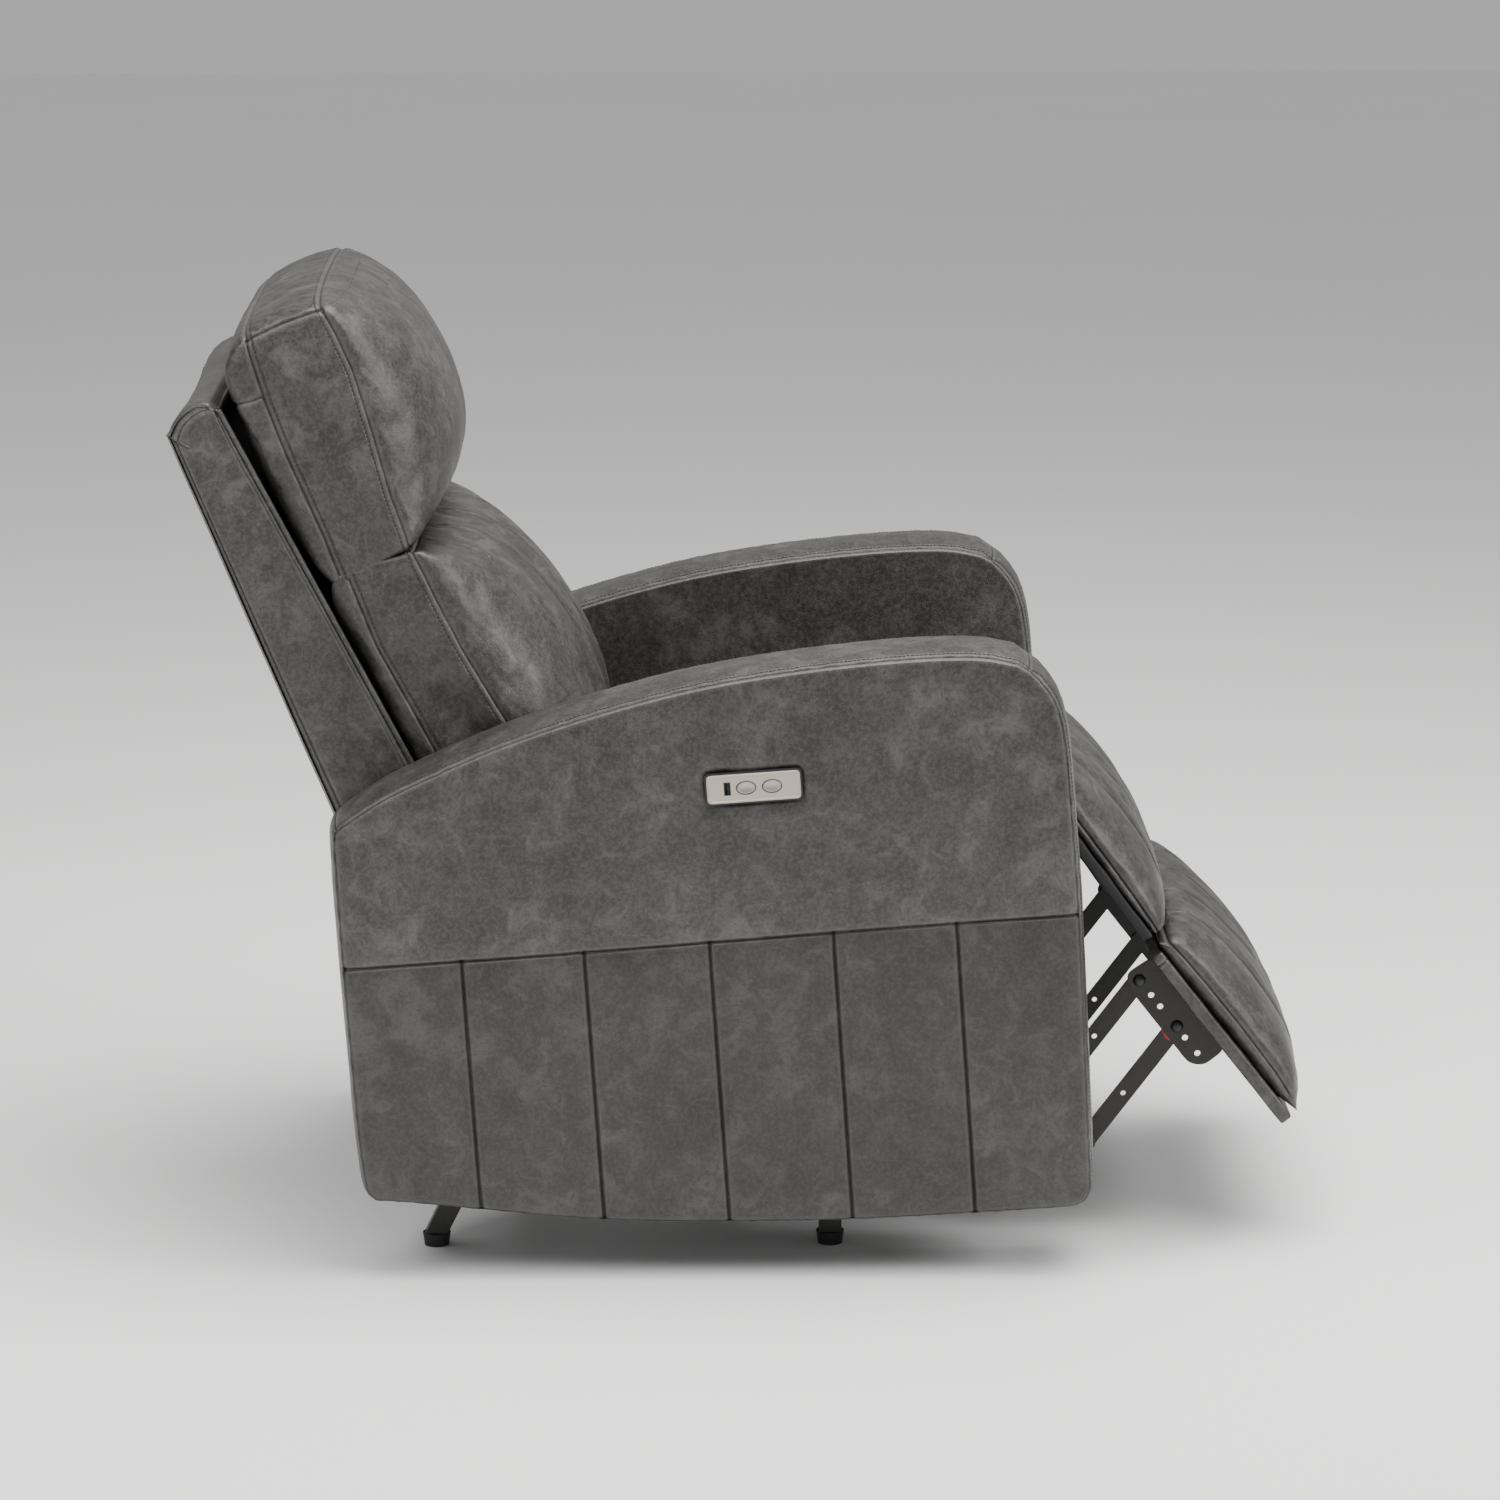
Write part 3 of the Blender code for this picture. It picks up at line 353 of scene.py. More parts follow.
def leather_material(name, seams=("seam_a", "seam_b", "seam_c"), tuck=None, tone=1.0):
    """Charcoal pull-up leather with clouds, streaks, pebble grain and sewn creases.

    The seam named tuck is a fine raised tuck with a painted highlight along its ridge and painted shade beside it;
    the other seams get painted shade in their creases and a painted highlight beside them; the first seam has a
    stitch row.
    """
    mat, tree, shader = new_material(name)
    chosen = settings()
    place = object_coordinates(tree)
    clouds = use_group(tree, GROUPS["clouds"], Vector=place).outputs
    grain = use_group(tree, GROUPS["grain"], Vector=place).outputs
    # tone scales all three leather colours; below 1 it paints shade
    base = tuple(c * tone for c in chosen.leather) + (1.0,)
    light = tuple(c * tone for c in chosen.leather_light) + (1.0,)
    dark = tuple(c * tone for c in chosen.leather_dark) + (1.0,)
    colour = mix_colour(tree, math_node(tree, "MULTIPLY", clouds["Light"], 0.85), base, light)
    colour = mix_colour(tree, math_node(tree, "MULTIPLY", clouds["Dark"], 0.90), colour, dark)
    colour = mix_colour(tree, math_node(tree, "MULTIPLY", clouds["Streak"], 0.42), colour, light)
    speck = ramp(tree, clouds["Speck"], 0.44, 0.66)
    colour = mix_colour(tree, math_node(tree, "MULTIPLY", speck, 0.40), colour, light)
    shade = ramp(tree, clouds["Speck"], 0.50, 0.34)
    colour = mix_colour(tree, math_node(tree, "MULTIPLY", shade, 0.40), colour, dark)
    pores = math_node(tree, "MULTIPLY", math_node(tree, "SUBTRACT", 1.0, grain["Pores"]), 0.40)
    colour = mix_colour(tree, pores, colour, dark)
    height = grain["Height"]
    line, highlight_shade_band = None, None
    for label in seams:
        seam = use_group(tree, GROUPS["seam"], Distance=attribute(tree, label),
                         Row=-0.0064 if label == "seam_a" else 1.0).outputs
        line = seam["Line"] if line is None else math_node(tree, "MAXIMUM", line, seam["Line"])
        highlight_shade_band = seam["HighlightShadeBand"] if highlight_shade_band is None else math_node(tree, "MAXIMUM", highlight_shade_band, seam["HighlightShadeBand"])
        height = math_node(tree, "ADD", height, seam["Height"])
        if label == "seam_a":
            colour = mix_colour(tree, math_node(tree, "MULTIPLY", seam["Row"], 0.45), colour, dark)
    if tuck:
        fold = use_group(tree, GROUPS["seam"], Distance=attribute(tree, tuck), Width=0.0015).outputs
        # painted shade beside the tuck, then a painted highlight along its ridge
        colour = mix_colour(tree, math_node(tree, "MULTIPLY", fold["HighlightShadeBand"], 0.25), colour, dark)
        colour = mix_colour(tree, math_node(tree, "MULTIPLY", fold["Line"], 0.75), colour, light)
        height = math_node(tree, "ADD", height, math_node(tree, "MULTIPLY", fold["Line"], 0.0011))
    if line is not None:
        # painted highlight on the band beside each seam, then painted shade: a near-black line in each seam's crease
        colour = mix_colour(tree, math_node(tree, "MULTIPLY", highlight_shade_band, 0.42), colour, light)
        colour = mix_colour(tree, line, colour, (0.003, 0.003, 0.003, 1.0))
    tree.links.new(colour, shader.inputs["Base Color"])
    rough = math_node(tree, "ADD", 0.34, math_node(tree, "MULTIPLY", clouds["Speck"], 0.16))
    rough = math_node(tree, "SUBTRACT", rough, math_node(tree, "MULTIPLY", clouds["Light"], 0.05))
    tree.links.new(rough, shader.inputs["Roughness"])
    shader.inputs["Specular IOR Level"].default_value = 0.55
    tree.links.new(bump(tree, height), shader.inputs["Normal"])
    return mat


def metal_material(name, colour, roughness, metallic, smear=0.10):
    mat, tree, shader = new_material(name, roughness, metallic)
    place = object_coordinates(tree)
    wear = use_group(tree, GROUPS["wear"], Vector=place).outputs
    base = tuple(colour) + (1.0,)
    pale = tuple(min(1.0, c * 1.9 + 0.01) for c in colour) + (1.0,)
    mask = math_node(tree, "MULTIPLY", ramp(tree, wear["Smear"], 0.45, 0.75), 0.5)
    tree.links.new(mix_colour(tree, mask, base, pale), shader.inputs["Base Color"])
    rough = math_node(tree, "ADD", roughness - smear / 2, math_node(tree, "MULTIPLY", wear["Smear"], smear * 2))
    tree.links.new(rough, shader.inputs["Roughness"])
    grit = math_node(tree, "MULTIPLY", wear["Grit"], 0.00005)
    tree.links.new(bump(tree, grit), shader.inputs["Normal"])
    return mat


def brushed_material(name, colour):
    """Satin anodised plate, brushed along its length."""
    mat, tree, shader = new_material(name, 0.34, 0.75)
    place = object_coordinates(tree)
    lines = noise_value(tree, stretched(tree, place, (900.0, 25.0, 900.0)), 1.0, 3.0, 0.6)
    wear = use_group(tree, GROUPS["wear"], Vector=place).outputs
    pale = tuple(min(1.0, c * 1.14) for c in colour) + (1.0,)
    tree.links.new(mix_colour(tree, lines, tuple(colour) + (1.0,), pale), shader.inputs["Base Color"])
    rough = math_node(tree, "ADD", 0.27, math_node(tree, "MULTIPLY", wear["Smear"], 0.18))
    tree.links.new(rough, shader.inputs["Roughness"])
    tree.links.new(bump(tree, math_node(tree, "MULTIPLY", lines, 0.00003)), shader.inputs["Normal"])
    return mat


def woven_material(name, colour):
    """Black non-woven dust cover cloth."""
    mat, tree, shader = new_material(name, 0.85)
    place = object_coordinates(tree)
    warp = noise_value(tree, stretched(tree, place, (1500.0, 300.0, 300.0)), 1.0, 2.0, 0.6)
    weft = noise_value(tree, stretched(tree, place, (300.0, 1500.0, 1500.0)), 1.0, 2.0, 0.6)
    both = math_node(tree, "MULTIPLY", warp, weft)
    pale = tuple(c * 2.4 for c in colour) + (1.0,)
    tree.links.new(mix_colour(tree, both, tuple(colour) + (1.0,), pale), shader.inputs["Base Color"])
    tree.links.new(ramp(tree, both, -1.2, 0.5), shader.inputs["Roughness"])
    tree.links.new(bump(tree, math_node(tree, "MULTIPLY", both, 0.0003)), shader.inputs["Normal"])
    return mat


def wood_material(name, colour):
    mat, tree, shader = new_material(name, 0.65)
    place = object_coordinates(tree)
    rings = noise_value(tree, stretched(tree, place, (70.0, 5.0, 70.0)), 1.0, 4.0, 0.6, 0.8)
    dark = tuple(c * 0.55 for c in colour) + (1.0,)
    tree.links.new(mix_colour(tree, ramp(tree, rings, 0.35, 0.65), tuple(colour) + (1.0,), dark),
                   shader.inputs["Base Color"])
    tree.links.new(ramp(tree, rings, -0.6, 0.9), shader.inputs["Roughness"])
    tree.links.new(bump(tree, math_node(tree, "MULTIPLY", rings, 0.0003)), shader.inputs["Normal"])
    return mat


def build_materials():
    chosen = settings()
    GROUPS.update(clouds=build_clouds_group(), grain=build_grain_group(), seam=build_seam_group(),
                  wear=build_wear_group())
    MATERIALS.update(
        leather=leather_material("leather"),
        # painted shade: the leather darkened to 0.66 for the lower arm panels, standing in for the shade that falls
        # there
        leather_lower=leather_material("leather_lower", tone=0.66),
        leather_plain=leather_material("leather_plain", ()),
        leather_tucked=leather_material("leather_tucked", ("seam_a", "seam_b"), "seam_c"),
        steel=metal_material("black_steel", chosen.metal_colour, 0.40, 0.3),
        rivet=metal_material("rivet_steel", (0.03, 0.03, 0.03), 0.30, 0.8),
        plastic=metal_material("black_plastic", (0.010, 0.010, 0.010), 0.38, 0.0),
        champagne=brushed_material("champagne_plate", chosen.plate_colour),
        button=brushed_material("champagne_button", tuple(c * 0.80 for c in chosen.plate_colour)),
        # painted shade: the dark ring round each button stands in for the shade in the gap round it
        bezel=brushed_material("gap_shade_bezel", tuple(c * 0.30 for c in chosen.plate_colour)),
        rubber=metal_material("rubber_glide", (0.012, 0.012, 0.012), 0.60, 0.0),
        fabric=woven_material("dust_cover", (0.010, 0.010, 0.011)),
        wood=wood_material("frame_wood", (0.50, 0.36, 0.22)),
        zinc=metal_material("zinc_steel", (0.55, 0.55, 0.56), 0.33, 0.9),
        thread=metal_material("thread", (0.020, 0.019, 0.018), 0.70, 0.0),
        washer=metal_material("red_washer", (0.30, 0.030, 0.022), 0.50, 0.0),
        contacts=metal_material("socket_metal", (0.60, 0.60, 0.62), 0.25, 1.0),
        tongue=metal_material("socket_tongue", (0.03, 0.10, 0.35), 0.40, 0.0),
    )


# ================================================================ mesh tools

def mesh_object(name, verts, faces, mat, attributes=None, flat=False):
    mesh = bpy.data.meshes.new(name)
    mesh.from_pydata(np.asarray(verts).tolist(), [], [tuple(int(i) for i in f) for f in faces])
    mesh.validate()
    if not flat:
        mesh.shade_smooth()
    for label, values in (attributes or {}).items():
        layer = mesh.attributes.new(label, "FLOAT", "POINT")
        layer.data.foreach_set("value", np.asarray(values, np.float32))
    mesh.materials.append(mat)
    obj = bpy.data.objects.new(name, mesh)
    bpy.context.scene.collection.objects.link(obj)
    return obj


def face_outwards(obj):
    bm = bmesh.new()
    bm.from_mesh(obj.data)
    bmesh.ops.recalc_face_normals(bm, faces=bm.faces[:])
    bm.to_mesh(obj.data)
    bm.free()
    return obj


def attach(obj, body, slot_name, *nodes):
    """Rides the piece on a body and hides the plain nodes that it replaces; its slot_name is not used."""
    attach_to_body(obj, body)
    if nodes:
        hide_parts(*nodes)
    return obj


def grid_faces(rows, columns, offset=0, wrap=False):
    """Quads of a grid whose points are numbered row by row; wrap joins the last row to the first."""
    faces = []
    for r in range(rows if wrap else rows - 1):
        nxt = (r + 1) % rows
        for c in range(columns - 1):
            faces.append((offset + r * columns + c, offset + r * columns + c + 1,
                          offset + nxt * columns + c + 1, offset + nxt * columns + c))
    return faces


def ruled(low, high, step, marks=(), fine=(0.0009, 0.0024, 0.0050, 0.0090)):
    """Positions from low to high, closer together round each mark."""
    stops = sorted({low, high, *marks})
    places = []
    for a, b in zip(stops, stops[1:]):
        count = max(1, round((b - a) / step))
        places += [a + (b - a) * i / count for i in range(count)]
    places.append(high)
    kept = [p for p in places if all(abs(p - m) < 1e-9 or abs(p - m) > fine[-1] * 1.3 for m in marks)]
    for mark in marks:
        kept += [mark + sign * d for d in fine for sign in (-1, 1) if low < mark + sign * d < high]
    kept += [m for m in marks]
    return np.array(sorted(set(round(p, 6) for p in kept)))


def sampled(points, count):
    """A polyline resampled to count points, evenly by length, on a smooth curve through its points."""
    pts = np.array(points, float)
    ends = np.vstack([2 * pts[0] - pts[1], pts, 2 * pts[-1] - pts[-2]])
    dense = []
    for i in range(1, len(ends) - 2):
        p0, p1, p2, p3 = ends[i - 1], ends[i], ends[i + 1], ends[i + 2]
        t = np.linspace(0.0, 1.0, 16, endpoint=False)[:, None]
        dense.append(0.5 * ((2 * p1) + (p2 - p0) * t + (2 * p0 - 5 * p1 + 4 * p2 - p3) * t ** 2
                            + (3 * p1 - p0 - 3 * p2 + p3) * t ** 3))
    dense = np.vstack(dense + [pts[-1:]])
    lengths = np.concatenate([[0.0], np.cumsum(np.linalg.norm(np.diff(dense, axis=0), axis=1))])
    at = np.linspace(0.0, lengths[-1], count)
    return np.column_stack([np.interp(at, lengths, dense[:, k]) for k in range(pts.shape[1])])


def length_of(points):
    return float(np.linalg.norm(np.diff(np.asarray(points), axis=0), axis=1).sum())


def soft_noise(points, scale, seed=0.0):
    """Smooth noise between about -1 and 1 at each row of points."""
    shift = Vector((seed, seed * 1.7, seed * 2.3))
    return np.array([noise.noise(Vector(p) * scale + shift) for p in np.asarray(points)])


def tangents_of(points, closed=False):
    p = np.asarray(points, float)
    if closed:
        t = np.roll(p, -1, axis=0) - np.roll(p, 1, axis=0)
    else:
        t = np.gradient(p, axis=0)
    return t / np.maximum(np.linalg.norm(t, axis=1, keepdims=True), 1e-9)


def stitches(name, path, normals, mat):
    """A row of short thread beads laid along a world path, each one sunk a little into the leather."""
    chosen = settings()
    path, normals = np.asarray(path, float), np.asarray(normals, float)
    lengths = np.concatenate([[0.0], np.cumsum(np.linalg.norm(np.diff(path, axis=0), axis=1))])
    count = int(lengths[-1] / chosen.stitch_pitch)
    at = (np.arange(count) + 0.5) * lengths[-1] / max(count, 1)
    centre = np.column_stack([np.interp(at, lengths, path[:, k]) for k in range(3)])
    normal = np.column_stack([np.interp(at, lengths, normals[:, k]) for k in range(3)])
    tangent = tangents_of(path)
    tangent = np.column_stack([np.interp(at, lengths, tangent[:, k]) for k in range(3)])
    tangent /= np.linalg.norm(tangent, axis=1, keepdims=True)
    normal -= tangent * (normal * tangent).sum(1, keepdims=True)
    normal /= np.maximum(np.linalg.norm(normal, axis=1, keepdims=True), 1e-9)
    across = np.cross(tangent, normal)
    half, radius, sides = chosen.stitch_length / 2, 0.00055, 6
    rings = ((-half, 0.35), (-half * 0.55, 1.0), (half * 0.55, 1.0), (half, 0.35))
    shape = []
    for reach, swell in rings:
        for k in range(sides):
            a = 2 * math.pi * k / sides
            shape.append((reach, radius * swell * math.cos(a), radius * swell * math.sin(a)))
    shape = np.array(shape)
    verts = (centre[:, None, :] + tangent[:, None, :] * shape[None, :, 0:1]
             + across[:, None, :] * shape[None, :, 1:2] + normal[:, None, :] * shape[None, :, 2:3])
    faces = []
    size = len(shape)
    one = []
    for r in range(len(rings) - 1):
        for k in range(sides):
            j = (k + 1) % sides
            one.append((r * sides + k, r * sides + j, (r + 1) * sides + j, (r + 1) * sides + k))
    one.append(tuple(reversed(range(sides))))
    one.append(tuple((len(rings) - 1) * sides + k for k in range(sides)))
    for i in range(count):
        faces += [tuple(i * size + v for v in face) for face in one]
    return face_outwards(mesh_object(name, verts.reshape(-1, 3), faces, mat))


# ================================================================ arms

ARM_TOP_SEAM = ((-0.3810, 0.5030), (-0.3690, 0.5109), (-0.3310, 0.5323), (-0.2880, 0.5501),
                (-0.2030, 0.5805), (-0.0970, 0.6082), (0.0070, 0.6275), (0.1110, 0.6374), (0.2140, 0.6410),
                (0.2860, 0.6386), (0.3200, 0.6320), (0.3404, 0.6244), (0.3573, 0.6070), (0.3703, 0.5840),
                (0.3773, 0.5460), (0.3794, 0.4800))
ARM_BOTTOM_SEAM = ((-0.3720, 0.1075), (-0.3300, 0.1015), (-0.2640, 0.0900), (-0.1340, 0.0690),
                   (-0.0040, 0.0575), (0.1250, 0.0500), (0.2530, 0.0475), (0.3400, 0.0467),
                   (0.3580, 0.0476), (0.3690, 0.0520), (0.3735, 0.0600))
ARM_FRONT_LOWER = ((0.3735, 0.0600), (0.3752, 0.0720), (0.3760, 0.1050), (0.3790, 0.2670), (0.3803, 0.3580))
ARM_FRONT_UPPER = ((0.3803, 0.3580), (0.3804, 0.3950), (0.3794, 0.4800))
ARM_REAR_LOWER = ((-0.3720, 0.1075), (-0.3788, 0.1200), (-0.3815, 0.1500), (-0.3830, 0.2000), (-0.3840, 0.3580))
ARM_REAR_UPPER = ((-0.3840, 0.3580), (-0.3830, 0.4800), (-0.3810, 0.5030))
BAND_JOINTS = ((0.3404, 0.6244), (-0.3800, 0.5060))
FAN_START = 0.24                  # f where the columns of an arm begin to lean round its nose


def on_line(points, at):
    """Points of a smooth line at shares of its length."""
    line = sampled(points, 400)
    lengths = np.concatenate([[0.0], np.cumsum(np.linalg.norm(np.diff(line, axis=0), axis=1))])
    return np.column_stack([np.interp(np.asarray(at) * lengths[-1], lengths, line[:, k]) for k in (0, 1)])


def patch(bottom, top, left, right, across, rows):
    """Points between four lines: bottom and top at each column, left and right at each row."""
    u, v = across[None, :, None], rows[:, None, None]
    grid = (1 - v) * bottom[None] + v * top[None]
    first = (1 - v[:, 0]) * bottom[0] + v[:, 0] * top[0]
    last = (1 - v[:, 0]) * bottom[-1] + v[:, 0] * top[-1]
    return grid + (1 - u) ** 8 * (left - first)[:, None] + u ** 8 * (right - last)[:, None]


def arm_grid():
    """(f, z) points of an arm's face: rows from the bottom up, columns from the rear forwards."""
    columns = ruled(-0.3840, 0.3803, 0.0075, (-0.3840, *PANEL_SEAMS, 0.3803))
    across = (columns - columns[0]) / (columns[-1] - columns[0])
    height = 0.27
    lower_rows = ruled(0.0, height, 0.0075, (0.0, height)) / height
    upper_rows = ruled(0.0, height, 0.0075, (0.0, height)) / height
    line = sampled(ARM_BOTTOM_SEAM, 400)
    f_bottom = np.interp(columns, (-0.3840, -0.330, 0.330, 0.3803), (-0.3720, -0.330, 0.330, 0.3735))
    bottom = np.column_stack([f_bottom, np.interp(f_bottom, line[:, 0], line[:, 1])])
    middle = np.column_stack([columns, np.full(len(columns), PANEL_SEAM_Z)])
    top_line = sampled(ARM_TOP_SEAM, 600)
    lengths = np.concatenate([[0.0], np.cumsum(np.linalg.norm(np.diff(top_line, axis=0), axis=1))])
    before = np.argmax(top_line[:, 0] > FAN_START)
    share = np.where(columns <= FAN_START,
                     np.interp(columns, top_line[:before, 0], lengths[:before]),
                     lengths[before] + (lengths[-1] - lengths[before]) * (columns - FAN_START)
                     / (columns[-1] - FAN_START)) / lengths[-1]
    share[0], share[-1] = 0.0, 1.0
    top = np.column_stack([np.interp(share * lengths[-1], lengths, top_line[:, k]) for k in (0, 1)])
    lower = patch(bottom, middle, on_line(ARM_REAR_LOWER, lower_rows), on_line(ARM_FRONT_LOWER, lower_rows),
                  across, lower_rows)
    upper = patch(middle, top, on_line(ARM_REAR_UPPER, upper_rows), on_line(ARM_FRONT_UPPER, upper_rows),
                  across, upper_rows)
    return np.vstack([lower, upper[1:]])


def distance_to(points, line):
    """Shortest distance from each (a, b) point to a closed polyline."""
    p = np.asarray(points, float)
    a, b = np.asarray(line, float), np.roll(np.asarray(line, float), -1, axis=0)
    best = np.full(len(p), np.inf)
    for start in range(0, len(p), 4000):
        q = p[start:start + 4000, None, :]
        ab = (b - a)[None]
        t = np.clip(((q - a[None]) * ab).sum(2) / np.maximum((ab ** 2).sum(2), 1e-12), 0, 1)
        best[start:start + 4000] = np.sqrt((((a[None] + ab * t[..., None]) - q) ** 2).sum(2).min(1))
    return best


def channel_distance(f, seams):
    """Distance to the nearest of several parallel seams; its sign changes at each of them."""
    f = np.asarray(f, float)
    seams = np.asarray(seams, float)
    nearest = np.abs(f[..., None] - seams).min(-1)
    return nearest * np.where((f[..., None] > seams).sum(-1) % 2 == 0, 1.0, -1.0)


def box_distance(f, z, centre, half):
    """Signed distance to a rectangle, negative inside it."""
    df, dz = np.abs(f - centre[0]) - half[0], np.abs(z - centre[1]) - half[1]
    return np.hypot(np.maximum(df, 0), np.maximum(dz, 0)) + np.minimum(np.maximum(df, dz), 0)


def face_relief(f, z, edge, outer, panel):
    """How far an arm's face stands out from its edge seams, and the seams' signed distances."""
    relief = 0.0036 * (1 - np.exp(-edge / 0.0042))
    wave = 0.0012 * soft_noise(np.column_stack([f, z, 0 * f]), 9.0, 1.0 if outer else 4.0)
    rumple = 0.0005 * soft_noise(np.column_stack([f, z, 0 * f]), 38.0, 2.0)
    inner_part = 1 - np.exp(-edge / 0.030)
    relief = relief + (wave + rumple) * inner_part
    # gathers: short ripples square to the edge seam, where the cover is pulled in
    angle = np.arctan2(z - 0.33, f)
    relief = relief + 0.00045 * np.sin(angle * 150 + 6 * wave / 0.0012) * np.exp(-edge / 0.012) * (edge > 0)
    cross = np.full(len(f), FAR)
    channels = np.full(len(f), FAR)
    if outer:
        seam_z = PANEL_SEAM_Z + 0.0015 * np.sin(f * 6.0)
        cross = z - seam_z
        channels = channel_distance(f, PANEL_SEAMS)
        channels = np.where(cross > 1e-6, np.hypot(channels, np.maximum(cross, 0.0)), channels)
        depth = settings().seam_depth
        for seam in (cross, channels):
            away = np.abs(seam)
            relief = relief - depth * np.exp(-(away / 0.0022) ** 2) - 0.0013 * np.exp(-away / 0.012)
        pucker = 0.0004 * np.sin(z * 410 + 3 * np.sin(f * 40)) * np.exp(-np.abs(channels) / 0.010)
        relief = relief + pucker * inner_part
    if panel:
        around = box_distance(f, z, PANEL_CENTRE, (0.0505, 0.0170))
        relief = relief - 0.0026 * np.exp(-np.maximum(around, 0.0) / 0.0045)
        relief = relief + 0.0012 * np.exp(-((around - 0.013) / 0.007) ** 2)
        dent = np.hypot(f + 0.003, (z - 0.494) * 0.8)
        relief = relief - 0.0030 * np.exp(-(dent / 0.017) ** 2)
        fold = np.hypot((f - 0.012) * 0.55, z - 0.4985 + 0.25 * (f - 0.012))
        relief = relief - 0.0012 * np.exp(-(fold / 0.005) ** 2)
        relief = np.where(around < -0.0055, relief - 0.0140, relief)
    return relief, cross, channels


def build_arm(side):
    stem = "arm_cover_R" if side < 0 else "arm_cover_L"
    grid = arm_grid()
    rows, columns = grid.shape[:2]
    flat = grid.reshape(-1, 2)
    loop_index = ([c for c in range(columns)]
                  + [r * columns + columns - 1 for r in range(1, rows)]
                  + [(rows - 1) * columns + c for c in range(columns - 2, -1, -1)]
                  + [r * columns for r in range(rows - 2, 0, -1)])
    loop = flat[loop_index]
    edge = distance_to(flat, loop)
    edge[loop_index] = 0.0
    f, z = flat[:, 0], flat[:, 1]
    verts, faces = [], []
    tags = {"seam_a": [], "seam_b": [], "seam_c": []}
    signs = {}
    for face, (base, out) in enumerate(((ARM_OUTER, 1.0), (ARM_INNER, -1.0))):
        outer = face == 0
        relief, cross, channels = face_relief(f, z, edge, outer, outer and side < 0)
        if not outer:
            relief = np.minimum(relief, 0.0018)
        x = base + out * relief
        verts.append(np.column_stack([side * x, f, z]))
        faces += grid_faces(rows, columns, face * len(flat))
        tags["seam_a"].append(np.minimum(edge, FAR))
        tags["seam_b"].append(np.clip(cross, -FAR, FAR))
        tags["seam_c"].append(np.clip(channels, -FAR, FAR))
        signs[face] = (np.where(cross[loop_index] < 0, -1.0, 1.0), np.where(channels[loop_index] < 0, -1.0, 1.0))
    # the band round the edge
    normal = tangents_of(loop, closed=True)
    normal = np.column_stack([normal[:, 1], -normal[:, 0]])
    kernel = np.array([1, 2, 3, 2, 1]) / 9.0
    for k in (0, 1):
        normal[:, k] = np.convolve(np.concatenate([normal[-2:, k], normal[:, k], normal[:2, k]]), kernel, "valid")
    normal /= np.linalg.norm(normal, axis=1, keepdims=True)
    down = np.clip((-normal[:, 1] - 0.2) / 0.7, 0, 1)
    crown = 0.0078 - 0.0056 * down * down * (3 - 2 * down)
    xs = ruled(ARM_INNER, ARM_OUTER, 0.0085, (ARM_INNER, ARM_OUTER), (0.0009, 0.0024, 0.0043, 0.0060, 0.0090))[1:-1]
    offset = 2 * len(flat)
    lengths = np.concatenate([[0.0], np.cumsum(np.linalg.norm(np.diff(loop, axis=0), axis=1))])
    joints = [lengths[np.argmin(np.hypot(*(loop - np.array(p)).T))] for p in BAND_JOINTS]
    joint_distance = channel_distance(lengths, sorted(joints))
    for x in xs:
        near = min(x - ARM_INNER, ARM_OUTER - x)
        w = (x - (ARM_INNER + ARM_OUTER) / 2) / ((ARM_OUTER - ARM_INNER) / 2)
        height = crown * (0.36 * (1 - math.exp(-near / 0.0032)) + 0.64 * (1 - w * w))
        spots = np.column_stack([np.full(len(loop), x * side), loop])
        height = height + 0.0007 * soft_noise(spots, 16.0, 5.0) * (1 - abs(w) ** 4)
        height = height + 0.0005 * np.sin(lengths * 260 + 2 * np.sin(lengths * 31)) * math.exp(-near / 0.010)
        height = height - 0.0020 * np.exp(-(joint_distance / 0.0026) ** 2)
        verts.append(np.column_stack([spots[:, 0], loop + normal * height[:, None]]))
        from_outer = x > (ARM_INNER + ARM_OUTER) / 2
        cross_sign, channel_sign = signs[0 if from_outer else 1]
        tags["seam_a"].append(np.full(len(loop), -min(near, FAR)))
        tags["seam_b"].append(np.clip(joint_distance, -FAR, FAR) if near > 0.001 else cross_sign * FAR)
        tags["seam_c"].append(channel_sign * FAR)
    count = len(loop)
    strips = [np.array(loop_index) + len(flat)]
    strips += [offset + i * count + np.arange(count) for i in range(len(xs))]
    strips += [np.array(loop_index)]
    for a, b in zip(strips, strips[1:]):
        for i in range(count):
            j = (i + 1) % count
            faces.append((a[i], a[j], b[j], b[i]))
    verts = np.vstack(verts)
    tags = {name: np.concatenate(values) for name, values in tags.items()}
    world = to_world(verts)
    obj = face_outwards(mesh_object(stem.replace("cover", "leather"), world, faces, MATERIALS["leather"], tags))
    # painted shade: the panels under the cross seam get a darker copy of the leather, standing in for the shade on
    # the lower arm
    obj.data.materials.append(MATERIALS["leather_lower"])
    heights = from_world(vertex_array(obj.data))[:, 2]
    for polygon in obj.data.polygons:
        if heights[list(polygon.vertices)].mean() < PANEL_SEAM_Z:
            polygon.material_index = 1
    attach(obj, "chassis", "leather", stem)
    # topstitching on the band, beside both of its seams
    top_part = (loop[:, 1] > 0.075) & ~((loop[:, 0] < -0.36) & (loop[:, 1] < 0.50))
    start = int(np.argmax(~top_part))
    order = np.roll(np.arange(count), -start)
    order = order[top_part[order]]
    for label, target in (("outer", ARM_OUTER - 0.0060), ("inner", ARM_INNER + 0.0060)):
        row = int(np.argmin(np.abs(xs - target)))
        points = world[offset + row * count + order]
        out = to_world(np.column_stack([np.zeros(len(order)), loop[order] + normal[order]])) \
            - to_world(np.column_stack([np.zeros(len(order)), loop[order]]))
        row_obj = stitches(f"{stem}_stitches_{label}".replace("cover_", ""), points, out, MATERIALS["thread"])
        attach(row_obj, "chassis", "leather")
    return obj


# ================================================================ padded pieces

